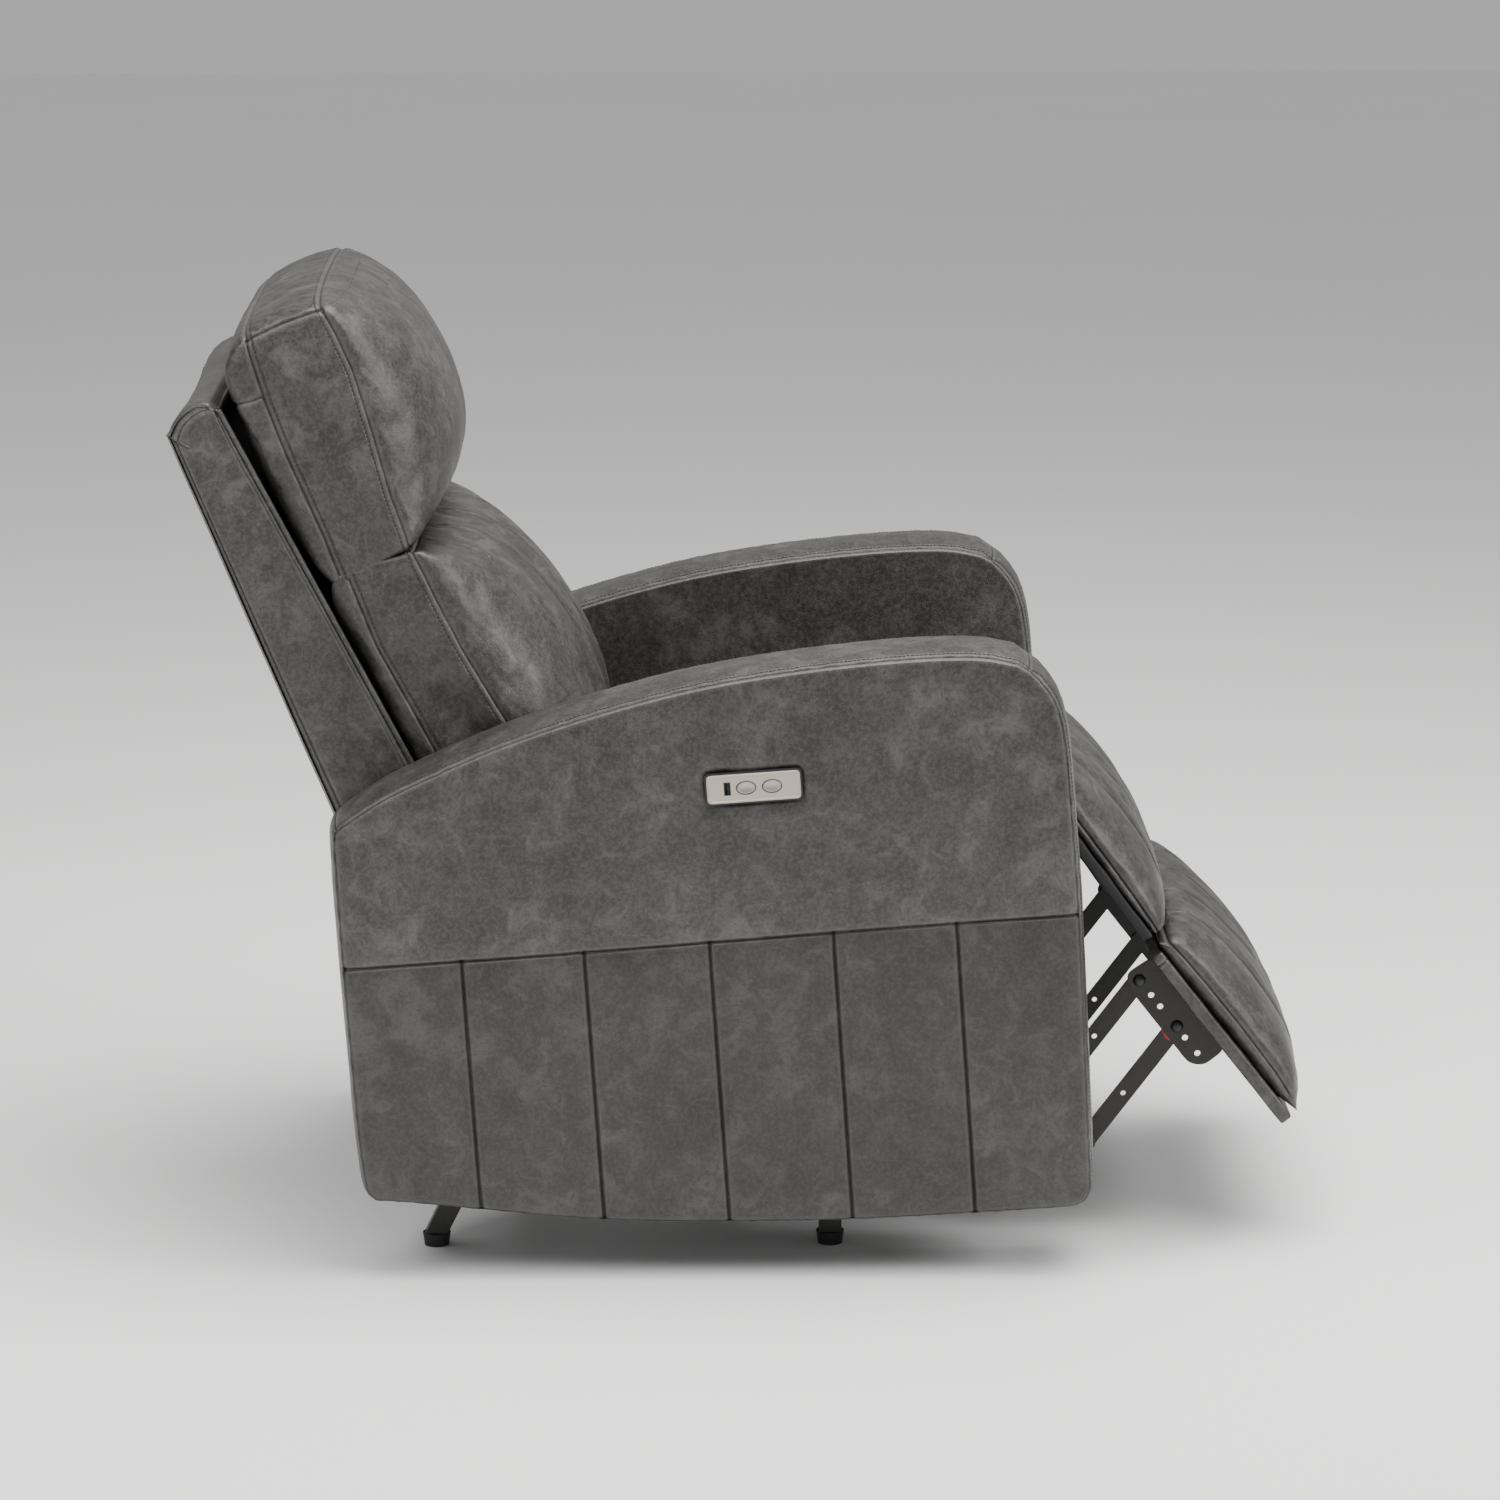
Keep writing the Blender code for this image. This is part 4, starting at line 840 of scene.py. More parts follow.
def closed_curve(points, count):
    """A closed outline resampled evenly on a smooth curve through its points."""
    pts = np.array(points, float)
    wrapped = np.vstack([pts[-2:], pts, pts[:3]])
    dense = []
    for i in range(2, len(wrapped) - 3):
        p0, p1, p2, p3 = wrapped[i - 1], wrapped[i], wrapped[i + 1], wrapped[i + 2]
        t = np.linspace(0.0, 1.0, 12, endpoint=False)[:, None]
        dense.append(0.5 * ((2 * p1) + (p2 - p0) * t + (2 * p0 - 5 * p1 + 4 * p2 - p3) * t ** 2
                            + (3 * p1 - p0 - 3 * p2 + p3) * t ** 3))
    dense = np.vstack(dense)
    return dense[np.linspace(0, len(dense) - 1, count).astype(int)]


def pillow_rest(edge, middle, half_width, power=3.0, columns=31):
    """World vertices and faces of a cushion that swells from its edge outline to its middle one."""
    pairs = closed_curve([(*e, *m) for e, m in zip(edge, middle)], 96)
    verts = []
    for i in range(columns):
        u = -math.cos(math.pi * i / (columns - 1))
        swell = math.sqrt(max(0.0, 1.0 - abs(u) ** power))
        ring = pairs[:, :2] + (pairs[:, 2:] - pairs[:, :2]) * swell
        verts.append(np.column_stack([np.full(len(ring), u * half_width), ring]))
    count = len(pairs)
    faces = []
    for c in range(columns - 1):
        for r in range(count):
            n = (r + 1) % count
            faces.append((c * count + r, c * count + n, (c + 1) * count + n, (c + 1) * count + r))
    faces.append(tuple(reversed(range(count))))
    faces.append(tuple((columns - 1) * count + r for r in range(count)))
    return to_world(np.vstack(verts)), faces


def vertex_array(mesh, kind="co"):
    values = np.empty(len(mesh.vertices) * 3, np.float32)
    if kind == "co":
        mesh.vertices.foreach_get("co", values)
    else:
        mesh.vertex_normals.foreach_get("vector", values)
    return values.reshape(-1, 3).astype(float)


def set_vertices(mesh, positions):
    mesh.vertices.foreach_set("co", np.asarray(positions, np.float32).ravel())
    mesh.update()


def from_world(points):
    """World rows as level (x, f, z) rows."""
    points = np.asarray(points, float)
    back = np.column_stack([points, np.ones(len(points))]) @ np.array(LEVEL.inverted()).T
    return np.column_stack([back[:, 0], -back[:, 1], back[:, 2]])


def applied(obj, modifier_type, **values):
    """Adds a modifier, applies it and leaves the mesh in its place."""
    mod = obj.modifiers.new("step", modifier_type)
    for label, value in values.items():
        setattr(mod, label, value)
    graph = bpy.context.evaluated_depsgraph_get()
    mesh = bpy.data.meshes.new_from_object(obj.evaluated_get(graph))
    obj.modifiers.clear()
    old, obj.data = obj.data, mesh
    bpy.data.meshes.remove(old)
    return obj


def edge_list(mesh):
    edges = np.empty(len(mesh.edges) * 2, np.int32)
    mesh.edges.foreach_get("vertices", edges)
    return edges.reshape(-1, 2)


def relaxed(mesh, positions, rounds, factor=0.5):
    """Positions smoothed towards their neighbours' mean."""
    edges = edge_list(mesh)
    degree = np.bincount(edges.ravel(), minlength=len(positions)).astype(float)[:, None]
    for _ in range(rounds):
        total = np.zeros_like(positions)
        np.add.at(total, edges[:, 0], positions[edges[:, 1]])
        np.add.at(total, edges[:, 1], positions[edges[:, 0]])
        positions = positions + factor * (total / np.maximum(degree, 1) - positions)
    return positions


def inflate(obj, hold, pressure=4.0, shrink=-0.006, cap=0.024, stiffness=14.0, bending=9.0):
    """Fills a cover as cloth under pressure, held where hold is 1, and caps how far a point moves."""
    chosen = settings()
    scene = bpy.context.scene
    group = obj.vertex_groups.new(name="sewn")
    for weight in np.unique(np.round(hold, 1)):
        if weight > 0:
            index = np.flatnonzero(np.abs(np.round(hold, 1) - weight) < 1e-6)
            group.add(index.tolist(), float(weight), "REPLACE")
    start = vertex_array(obj.data)
    mod = obj.modifiers.new("filling", "CLOTH")
    cloth = mod.settings
    cloth.quality = 5
    cloth.mass = 0.4
    cloth.air_damping = 4.0
    cloth.tension_stiffness = cloth.compression_stiffness = stiffness
    cloth.shear_stiffness = stiffness / 3
    cloth.bending_stiffness = bending
    cloth.use_pressure = True
    cloth.uniform_pressure_force = pressure
    cloth.shrink_min = shrink
    cloth.vertex_group_mass = "sewn"
    cloth.pin_stiffness = 6.0
    cloth.effector_weights.gravity = 0.0
    mod.collision_settings.use_collision = False
    mod.collision_settings.use_self_collision = False
    mod.point_cache.frame_start, mod.point_cache.frame_end = 1, chosen.cloth_frames
    for frame_number in range(1, chosen.cloth_frames + 1):
        scene.frame_set(frame_number)
        graph = bpy.context.evaluated_depsgraph_get()
        done = obj.evaluated_get(graph)
    moved_to = vertex_array(done.data)
    obj.modifiers.clear()
    obj.vertex_groups.clear()
    scene.frame_set(1)
    shift = moved_to - start
    reach = np.linalg.norm(shift, axis=1, keepdims=True)
    shift *= np.minimum(1.0, cap / np.maximum(reach, 1e-9))
    set_vertices(obj.data, start + shift)
    return float(np.percentile(reach, 95))


def stuffed(name, verts, faces, seams, sink=0.0040, puff=0.006, finish="leather", softness=0.022, **cloth):
    """A padded cover: rest shape, even mesh, cloth under pressure, one subdivision and sunk seams.

    seams gives each seam's tag and a function of level (x, f, z) rows for its signed distance.
    """
    obj = face_outwards(mesh_object(name, verts, faces, MATERIALS[finish], flat=True))
    applied(obj, "REMESH", mode="VOXEL", voxel_size=settings().cloth_voxel, use_smooth_shade=True)
    mesh = obj.data
    even = relaxed(mesh, vertex_array(mesh), 6)
    set_vertices(mesh, even)
    rest = from_world(even)
    distance = [function(rest) for _, function in seams]
    nearest = np.min([np.abs(d) for d in distance], axis=0) if distance else np.full(len(rest), FAR)
    normal = vertex_array(mesh, "normal")
    layer = mesh.attributes.new("rest_place", "FLOAT_VECTOR", "POINT")
    layer.data.foreach_set("vector", rest.astype(np.float32).ravel())
    free = 1 - np.exp(-nearest / softness)
    # short folds from smooth noise, fading out near each seam, so that the cloth wrinkles where the cover is
    # gathered
    folds = soft_noise(even, 30.0, 3.0) * 0.5 + soft_noise(even, 85.0, 7.0) * 0.25
    start = even - normal * (sink * free)[:, None] + normal * (folds * 0.0009 * free)[:, None]
    set_vertices(mesh, start)
    hold = np.clip((0.009 - nearest) / 0.005, 0.0, 1.0)
    reach = inflate(obj, hold, **cloth)
    print(f"{name}: {len(mesh.vertices)} points, moved {reach * 1000:.1f} mm")
    set_vertices(obj.data, relaxed(obj.data, vertex_array(obj.data), 4, 0.5))
    applied(obj, "SUBSURF", levels=1, render_levels=1)
    mesh = obj.data
    values = np.empty(len(mesh.vertices) * 3, np.float32)
    mesh.attributes["rest_place"].data.foreach_get("vector", values)
    rest = values.reshape(-1, 3).astype(float)
    mesh.attributes.remove(mesh.attributes["rest_place"])
    positions, normal = vertex_array(mesh), vertex_array(mesh, "normal")
    depth = settings().seam_depth
    tags = {}
    for tag, function in seams:
        away = function(rest)
        size = np.abs(away)
        positions -= normal * (depth * np.exp(-(size / 0.0030) ** 2) + 0.0008 * np.exp(-size / 0.010))[:, None]
        ripple = np.sin(rest @ np.array([300.0, 260.0, 240.0]) + 4 * soft_noise(rest, 22.0, 2.0))
        positions += normal * (0.00045 * ripple * np.exp(-size / 0.012) * (size > 0.002))[:, None]
        value = np.clip(away, -FAR, FAR)
        if tag in tags:
            value = np.where(np.abs(value) < np.abs(tags[tag]), value, tags[tag])
        tags[tag] = value
    set_vertices(mesh, positions)
    for tag in ("seam_a", "seam_b", "seam_c"):
        layer = mesh.attributes.new(tag, "FLOAT", "POINT")
        layer.data.foreach_set("value", np.asarray(tags.get(tag, np.full(len(positions), FAR)), np.float32))
    mesh.shade_smooth()
    return obj, rest


def isolines(obj, values, keep):
    """Ordered world paths on a mesh where a value is zero, with their normals, within the kept points."""
    mesh = obj.data
    positions, normals = vertex_array(mesh), vertex_array(mesh, "normal")
    edges = edge_list(mesh)
    a, b = values[edges[:, 0]], values[edges[:, 1]]
    crossing = (a * b < 0) & keep[edges[:, 0]] & keep[edges[:, 1]] & (np.abs(a - b) < 0.02)
    lookup = {}
    for i in np.flatnonzero(crossing):
        lookup[tuple(sorted(edges[i]))] = i
    neighbours = {}
    touched = np.zeros(len(positions), bool)
    touched[edges[crossing].ravel()] = True
    for face in mesh.polygons:
        v = face.vertices
        if not touched[v[0]] and not touched[v[2]]:
            continue
        found = [lookup[key] for key in (tuple(sorted((v[k - 1], v[k]))) for k in range(len(v))) if key in lookup]
        if len(found) == 2:
            neighbours.setdefault(found[0], []).append(found[1])
            neighbours.setdefault(found[1], []).append(found[0])
    share = a / np.where(np.abs(a - b) < 1e-12, 1, a - b)
    spot = positions[edges[:, 0]] + (positions[edges[:, 1]] - positions[edges[:, 0]]) * share[:, None]
    direction = normals[edges[:, 0]] + normals[edges[:, 1]]
    paths, used = [], set()
    starts = [e for e, near in neighbours.items() if len(near) == 1] + list(neighbours)
    for first in starts:
        if first in used:
            continue
        chain, current = [], first
        while current is not None:
            used.add(current)
            chain.append(current)
            current = next((n for n in neighbours[current] if n not in used), None)
        if len(chain) > 12:
            path, normal = spot[chain], direction[chain]
            for _ in range(3):
                path[1:-1] = (path[:-2] + 2 * path[1:-1] + path[2:]) / 4
            paths.append((path, normal))
    return paths


def sew(name, obj, body, values, keep, slot_name="leather"):
    """Top stitches along every path where the values are zero."""
    made = []
    for i, (path, normal) in enumerate(isolines(obj, values, keep)):
        if length_of(path) > 0.03:
            row = stitches(f"{name}_{i + 1}", path, normal, MATERIALS["thread"])
            made.append(row)
    if not made:
        raise RuntimeError(f"{name}: no path to sew along")
    for row in made:
        attach(row, body, slot_name)
    return made


def line_distance(rest, line, extend=0.25):
    """Signed (f, z) distance to a seam line drawn on from both its ends; positive on its front side."""
    pts = np.array(line, float)
    first, last = pts[0] - pts[1], pts[-1] - pts[-2]
    pts = np.vstack([pts[0] + first / np.linalg.norm(first) * extend, pts,
                     pts[-1] + last / np.linalg.norm(last) * extend])
    p = np.asarray(rest)[:, 1:3]
    best, sign = np.full(len(p), np.inf), np.ones(len(p))
    for a, b in zip(pts, pts[1:]):
        ab = b - a
        t = np.clip(((p - a) @ ab) / (ab @ ab), 0, 1)
        gap = p - (a + t[:, None] * ab)
        size = np.linalg.norm(gap, axis=1)
        side = ab[0] * (p[:, 1] - a[1]) - ab[1] * (p[:, 0] - a[0])
        closer = size < best
        best = np.where(closer, size, best)
        sign = np.where(closer, np.where(side > 0, 1.0, -1.0), sign)
    return best * sign


# ---------------------------------------------------------------- headrest

HEAD_EDGE = ((-0.462, 0.945), (-0.466, 0.975), (-0.442, 1.004), (-0.400, 1.020), (-0.357, 1.031),
             (-0.342, 1.006), (-0.330, 0.962), (-0.314, 0.890), (-0.301, 0.826), (-0.285, 0.772),
             (-0.310, 0.757), (-0.356, 0.735), (-0.384, 0.750), (-0.424, 0.846))
HEAD_MIDDLE = ((-0.462, 0.945), (-0.468, 0.980), (-0.448, 1.014), (-0.402, 1.036), (-0.350, 1.043),
               (-0.290, 1.012), (-0.251, 0.952), (-0.231, 0.890), (-0.232, 0.834), (-0.254, 0.794),
               (-0.300, 0.766), (-0.356, 0.738), (-0.384, 0.750), (-0.424, 0.846))
HEAD_FRONT_SEAM = ((-0.357, 1.031), (-0.344, 1.000), (-0.330, 0.962), (-0.314, 0.890), (-0.301, 0.826),
                   (-0.286, 0.773))
HEAD_REAR_SEAM = ((-0.440, 1.004), (-0.424, 0.935), (-0.406, 0.876), (-0.377, 0.795), (-0.360, 0.738))
HEAD_TOP_SEAM = ((-0.450, 1.000), (-0.440, 1.0035), (-0.400, 1.019), (-0.357, 1.031), (-0.350, 1.033))
HEAD_STRAP_Z = 0.938
LUMBAR_EDGE = ((-0.305, 0.7690), (-0.277, 0.7690), (-0.263, 0.716), (-0.241, 0.662), (-0.219, 0.617),
               (-0.198, 0.576), (-0.180, 0.530), (-0.185, 0.495), (-0.240, 0.485), (-0.288, 0.522),
               (-0.345, 0.655), (-0.376, 0.742))
LUMBAR_MIDDLE = ((-0.290, 0.7650), (-0.215, 0.750), (-0.168, 0.711), (-0.138, 0.667), (-0.115, 0.624),
                 (-0.100, 0.583), (-0.094, 0.540), (-0.115, 0.505), (-0.240, 0.485), (-0.288, 0.522),
                 (-0.345, 0.655), (-0.376, 0.742))
LUMBAR_FRONT_SEAM = ((-0.281, 0.760), (-0.264, 0.717), (-0.241, 0.662), (-0.219, 0.617), (-0.198, 0.576),
                     (-0.180, 0.530), (-0.178, 0.500))
LUMBAR_REAR_SEAM = ((-0.352, 0.740), (-0.330, 0.669), (-0.299, 0.602), (-0.278, 0.555), (-0.262, 0.510))
CHANNELS = (-0.1575, -0.0525, 0.0525, 0.1575)


def only_where(values, mask):
    """The values where the mask holds. Elsewhere they are so large that a change of sign draws no line."""
    return np.where(mask, values, np.where(values < 0, -NO_SEAM, NO_SEAM))


def build_headrest():
    verts, faces = pillow_rest(HEAD_EDGE, HEAD_MIDDLE, PAD_HALF_WIDTH - 0.003)

    def front(rest):
        return line_distance(rest, HEAD_FRONT_SEAM)

    def rear(rest):
        return line_distance(rest, HEAD_REAR_SEAM)

    def gusset_top(rest):
        inside = (np.abs(rest[:, 0]) > 0.225) & (front(rest) < 0) & (rear(rest) > 0) & (rest[:, 2] > 0.90)
        return only_where(line_distance(rest, HEAD_TOP_SEAM), inside)

    def strap(rest):
        return only_where(rest[:, 2] - HEAD_STRAP_Z - (rest[:, 1] + 0.44) * 0.25,
                          (rear(rest) < 0) & (rest[:, 2] > 0.85))

    head, rest = stuffed("headrest", verts, faces,
                         (("seam_a", front), ("seam_a", lambda rest: -rear(rest)), ("seam_b", gusset_top),
                          ("seam_c", strap)))
    attach(head, "back", "leather", "headrest_cushion")
    on_side = np.abs(rest[:, 0]) > 0.20
    sew("headrest_front_stitches", head, "back", front(rest) + 0.0064, on_side & (rear(rest) > 0.004))
    sew("headrest_rear_stitches", head, "back", rear(rest) - 0.0064, on_side & (front(rest) < -0.004))
    return head


def build_lumbar():
    verts, faces = pillow_rest(LUMBAR_EDGE, LUMBAR_MIDDLE, PAD_HALF_WIDTH - 0.003)

    def front(rest):
        return line_distance(rest, LUMBAR_FRONT_SEAM)

    def rear(rest):
        return line_distance(rest, LUMBAR_REAR_SEAM)

    def channels(rest):
        facing = (front(rest) > 0.004) & (rest[:, 2] > 0.50)
        return only_where(channel_distance(rest[:, 0], CHANNELS), facing)

    lumbar, rest = stuffed("lumbar_pad", verts, faces,
                           (("seam_a", front), ("seam_a", lambda rest: -rear(rest)), ("seam_c", channels)),
                           finish="leather_tucked", softness=0.020)
    attach(lumbar, "back", "leather", "lumbar_cushion")
    on_side = np.abs(rest[:, 0]) > 0.20
    sew("lumbar_front_stitches", lumbar, "back", front(rest) + 0.0064, on_side & (rear(rest) > 0.004))
    sew("lumbar_rear_stitches", lumbar, "back", rear(rest) - 0.0064, on_side & (front(rest) < -0.004))
    return lumbar


# ---------------------------------------------------------------- seat

SEAT_EDGE = ((-0.225, 0.376), (0.040, 0.391), (0.285, 0.4045), (0.318, 0.408), (0.338, 0.455), (0.348, 0.474),
             (0.330, 0.486), (0.080, 0.477), (-0.195, 0.464), (-0.223, 0.420))
SEAT_MIDDLE = ((-0.225, 0.376), (0.040, 0.391), (0.285, 0.4045), (0.318, 0.408), (0.340, 0.455), (0.357, 0.482),
               (0.332, 0.499), (0.080, 0.493), (-0.185, 0.480), (-0.223, 0.420))


def build_seat():
    verts, faces = pillow_rest(SEAT_EDGE, SEAT_MIDDLE, PAD_HALF_WIDTH - 0.003)

    def welt(rest):
        line = ((-0.215, 0.452), (0.080, 0.4675), (0.322, 0.476), (0.345, 0.464))
        return only_where(line_distance(rest, line), np.abs(rest[:, 0]) > 0.21)

    def channels(rest):
        return only_where(channel_distance(rest[:, 0], CHANNELS), rest[:, 2] > 0.440)

    seat, rest = stuffed("seat_pad", verts, faces, (("seam_b", welt), ("seam_c", channels)), sink=0.003,
                         puff=0.003, finish="leather_tucked")
    attach(seat, "chassis", "leather", "seat_cushion")
    return seat


# ---------------------------------------------------------------- leg rest

def on_slope(start, slope, places):
    return [along(start, slope, distance, height) for distance, height in places]


def build_footrest_pad():
    low = 0.0150
    edge = on_slope(FOOTREST_TOP, BOARD_SLOPE, (
        (0.001, low), (-0.003, 0.020), (-0.002, 0.028), (0.012, 0.034), (0.060, 0.037), (0.120, 0.037),
        (0.180, 0.0355), (0.212, 0.0325), (0.2235, 0.026), (0.2215, 0.0175)))
    middle = on_slope(FOOTREST_TOP, BOARD_SLOPE, (
        (0.001, low), (-0.006, 0.024), (-0.006, 0.044), (0.012, 0.061), (0.060, 0.0715), (0.120, 0.073),
        (0.180, 0.065), (0.214, 0.047), (0.226, 0.030), (0.2225, 0.0175)))
    verts, faces = pillow_rest(edge, middle, PAD_HALF_WIDTH - 0.002)
    line = on_slope(FOOTREST_TOP, BOARD_SLOPE, ((0.004, 0.0275), (0.060, 0.0300), (0.120, 0.0305),
                                                (0.180, 0.0290), (0.222, 0.0255)))
    top = on_slope(FOOTREST_TOP, BOARD_SLOPE, ((0.0, 0.038), (0.228, 0.038)))

    def side_seam(rest):
        down = (rest[:, 1:3] - np.array(FOOTREST_TOP)) @ np.array([math.cos(BOARD_SLOPE), math.sin(BOARD_SLOPE)])
        return only_where(line_distance(rest, line, 0.03), down < 0.214)

    def channels(rest):
        return only_where(channel_distance(rest[:, 0], CHANNELS), line_distance(rest, top) > 0.0)

    pad, rest = stuffed("footrest_cover", verts, faces, (("seam_b", side_seam), ("seam_c", channels)),
                        sink=0.002, puff=0.003, finish="leather_tucked", softness=0.016, pressure=3.0)
    attach(pad, "footrest", "leather", "footrest_pad")
    return pad


def build_chaise_cover():
    """The lower pad, carried on upwards to the nose of the seat."""
    places_edge = ((0.012, -0.0070), (0.100, -0.0075), (0.196, -0.0070), (0.203, -0.003), (0.197, 0.0045),
                   (0.150, 0.0060), (0.100, 0.0060), (0.050, 0.0060), (0.000, 0.0060), (-0.018, 0.0000),
                   (-0.018, -0.0070))
    places_middle = ((0.012, -0.0070), (0.100, -0.0075), (0.196, -0.0070), (0.206, 0.003), (0.196, 0.0250),
                     (0.150, 0.0420), (0.100, 0.0470), (0.050, 0.0440), (0.000, 0.0330), (-0.022, 0.0150),
                     (-0.018, -0.0070))
    edge = on_slope(CHAISE_HINGE, CHAISE_SLOPE, places_edge)
    middle = on_slope(CHAISE_HINGE, CHAISE_SLOPE, places_middle)
    verts, faces = pillow_rest(edge, middle, PAD_HALF_WIDTH - 0.002)
    line = on_slope(CHAISE_HINGE, CHAISE_SLOPE, ((-0.012, 0.001), (0.050, 0.0015), (0.100, 0.0015),
                                                 (0.150, 0.001), (0.198, -0.001)))
    top = on_slope(CHAISE_HINGE, CHAISE_SLOPE, ((-0.020, 0.008), (0.208, 0.008)))

    def side_seam(rest):
        return line_distance(rest, line, 0.03)

    def channels(rest):
        return only_where(channel_distance(rest[:, 0], CHANNELS), line_distance(rest, top) > 0.0)

    pad, rest = stuffed("chaise_cover", verts, faces, (("seam_b", side_seam), ("seam_c", channels)),
                        sink=0.002, puff=0.003, finish="leather_tucked", softness=0.016, pressure=3.0)
    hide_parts("chaise_pad")
    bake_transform(pad)
    return pad


def extruded(name, outline, half_width, mat, edge_radius=0.0015, segments=3):
    """A side outline (f, z) drawn out across the chair, with rounded edges."""
    bm = bmesh.new()
    for side in (-1, 1):
        ring = [bm.verts.new(level(side * half_width, f, z)) for f, z in outline]
        if side < 0:
            first = ring
    bm.faces.new(first)
    bm.faces.new(list(reversed(ring)))
    for i in range(len(ring)):
        j = (i + 1) % len(ring)
        bm.faces.new((first[j], first[i], ring[i], ring[j]))
    bmesh.ops.recalc_face_normals(bm, faces=bm.faces[:])
    sharp = [e for e in bm.edges if len(e.link_faces) == 2 and e.calc_face_angle() > 0.6]
    bmesh.ops.bevel(bm, geom=sharp, offset=edge_radius, segments=segments, profile=0.5, affect="EDGES")
    mesh = bpy.data.meshes.new(name)
    bm.to_mesh(mesh)
    bm.free()
    mesh.shade_smooth()
    mesh.materials.append(mat)
    obj = bpy.data.objects.new(name, mesh)
    bpy.context.scene.collection.objects.link(obj)
    return obj


def wrapped_board(name, outline, half_width, body, node, mat, seams=(), lump=0.0006):
    """A board under a stretched cover: rounded, slightly uneven, with its own seam lines."""
    obj = extruded(name, outline, half_width, mat, 0.0030, 3)
    mesh = obj.data
    bm = bmesh.new()
    bm.from_mesh(mesh)
    bmesh.ops.subdivide_edges(bm, edges=[e for e in bm.edges if e.calc_length() > 0.02], cuts=7,
                              use_grid_fill=True)
    bmesh.ops.subdivide_edges(bm, edges=[e for e in bm.edges if e.calc_length() > 0.02], cuts=3,
                              use_grid_fill=True)
    bmesh.ops.triangulate(bm, faces=[f for f in bm.faces if len(f.verts) > 4])
    bm.to_mesh(mesh)
    bm.free()
    positions, normal = vertex_array(mesh), vertex_array(mesh, "normal")
    positions += normal * (lump * soft_noise(positions, 30.0, 8.0) * 1.5)[:, None]
    set_vertices(mesh, positions)
    rest = from_world(positions)
    for tag in ("seam_a", "seam_b", "seam_c"):
        found = [function(rest) for label, function in seams if label == tag]
        layer = mesh.attributes.new(tag, "FLOAT", "POINT")
        values = found[0] if found else np.full(len(rest), FAR)
        layer.data.foreach_set("value", np.clip(values, -FAR, FAR).astype(np.float32))
    mesh.shade_smooth()
    return attach(obj, body, "leather", node)


def build_footrest_board():
    places = ((0.0, 0.0), (0.2310, 0.0), (0.2310, 0.0142), (0.0, 0.0142))
    outline = on_slope(FOOTREST_TOP, BOARD_SLOPE, places)

    def hem(rest):
        line = on_slope(FOOTREST_TOP, BOARD_SLOPE, ((0.010, -0.05), (0.010, 0.05)))
        return line_distance(rest, line)

    return wrapped_board("footrest_board_cover", outline, PAD_HALF_WIDTH, "footrest", "footrest_board",
                         MATERIALS["leather"], (("seam_b", hem),))


def build_chaise_board():
    places = ((0.026, -0.0197), (0.196, -0.0197), (0.199, -0.0074), (0.020, -0.0074))
    outline = on_slope(CHAISE_HINGE, CHAISE_SLOPE, places)
    return wrapped_board("chaise_boxing", outline, PAD_HALF_WIDTH - 0.003, "chaise", "chaise_board",
                         MATERIALS["fabric"], (), 0.0008)


# ================================================================ back shell

SHELL_REAR = ((-0.5285, 0.905), (-0.347, 0.365))
SHELL_FRONT = ((-0.478, 0.941), (-0.238, 0.392))
SHELL_HALF = 0.2700
SHELL_WALL = 0.013


def shell_outline():
    """Side view of the back shell, from the lower front corner round the top to the lower rear one."""
    return [SHELL_FRONT[1], (-0.358, 0.6665), (-0.4700, 0.9225), SHELL_FRONT[0], (-0.4905, 0.9435),
            (-0.5080, 0.9375), (-0.5225, 0.9240), SHELL_REAR[0], (-0.4400, 0.6420), SHELL_REAR[1]]


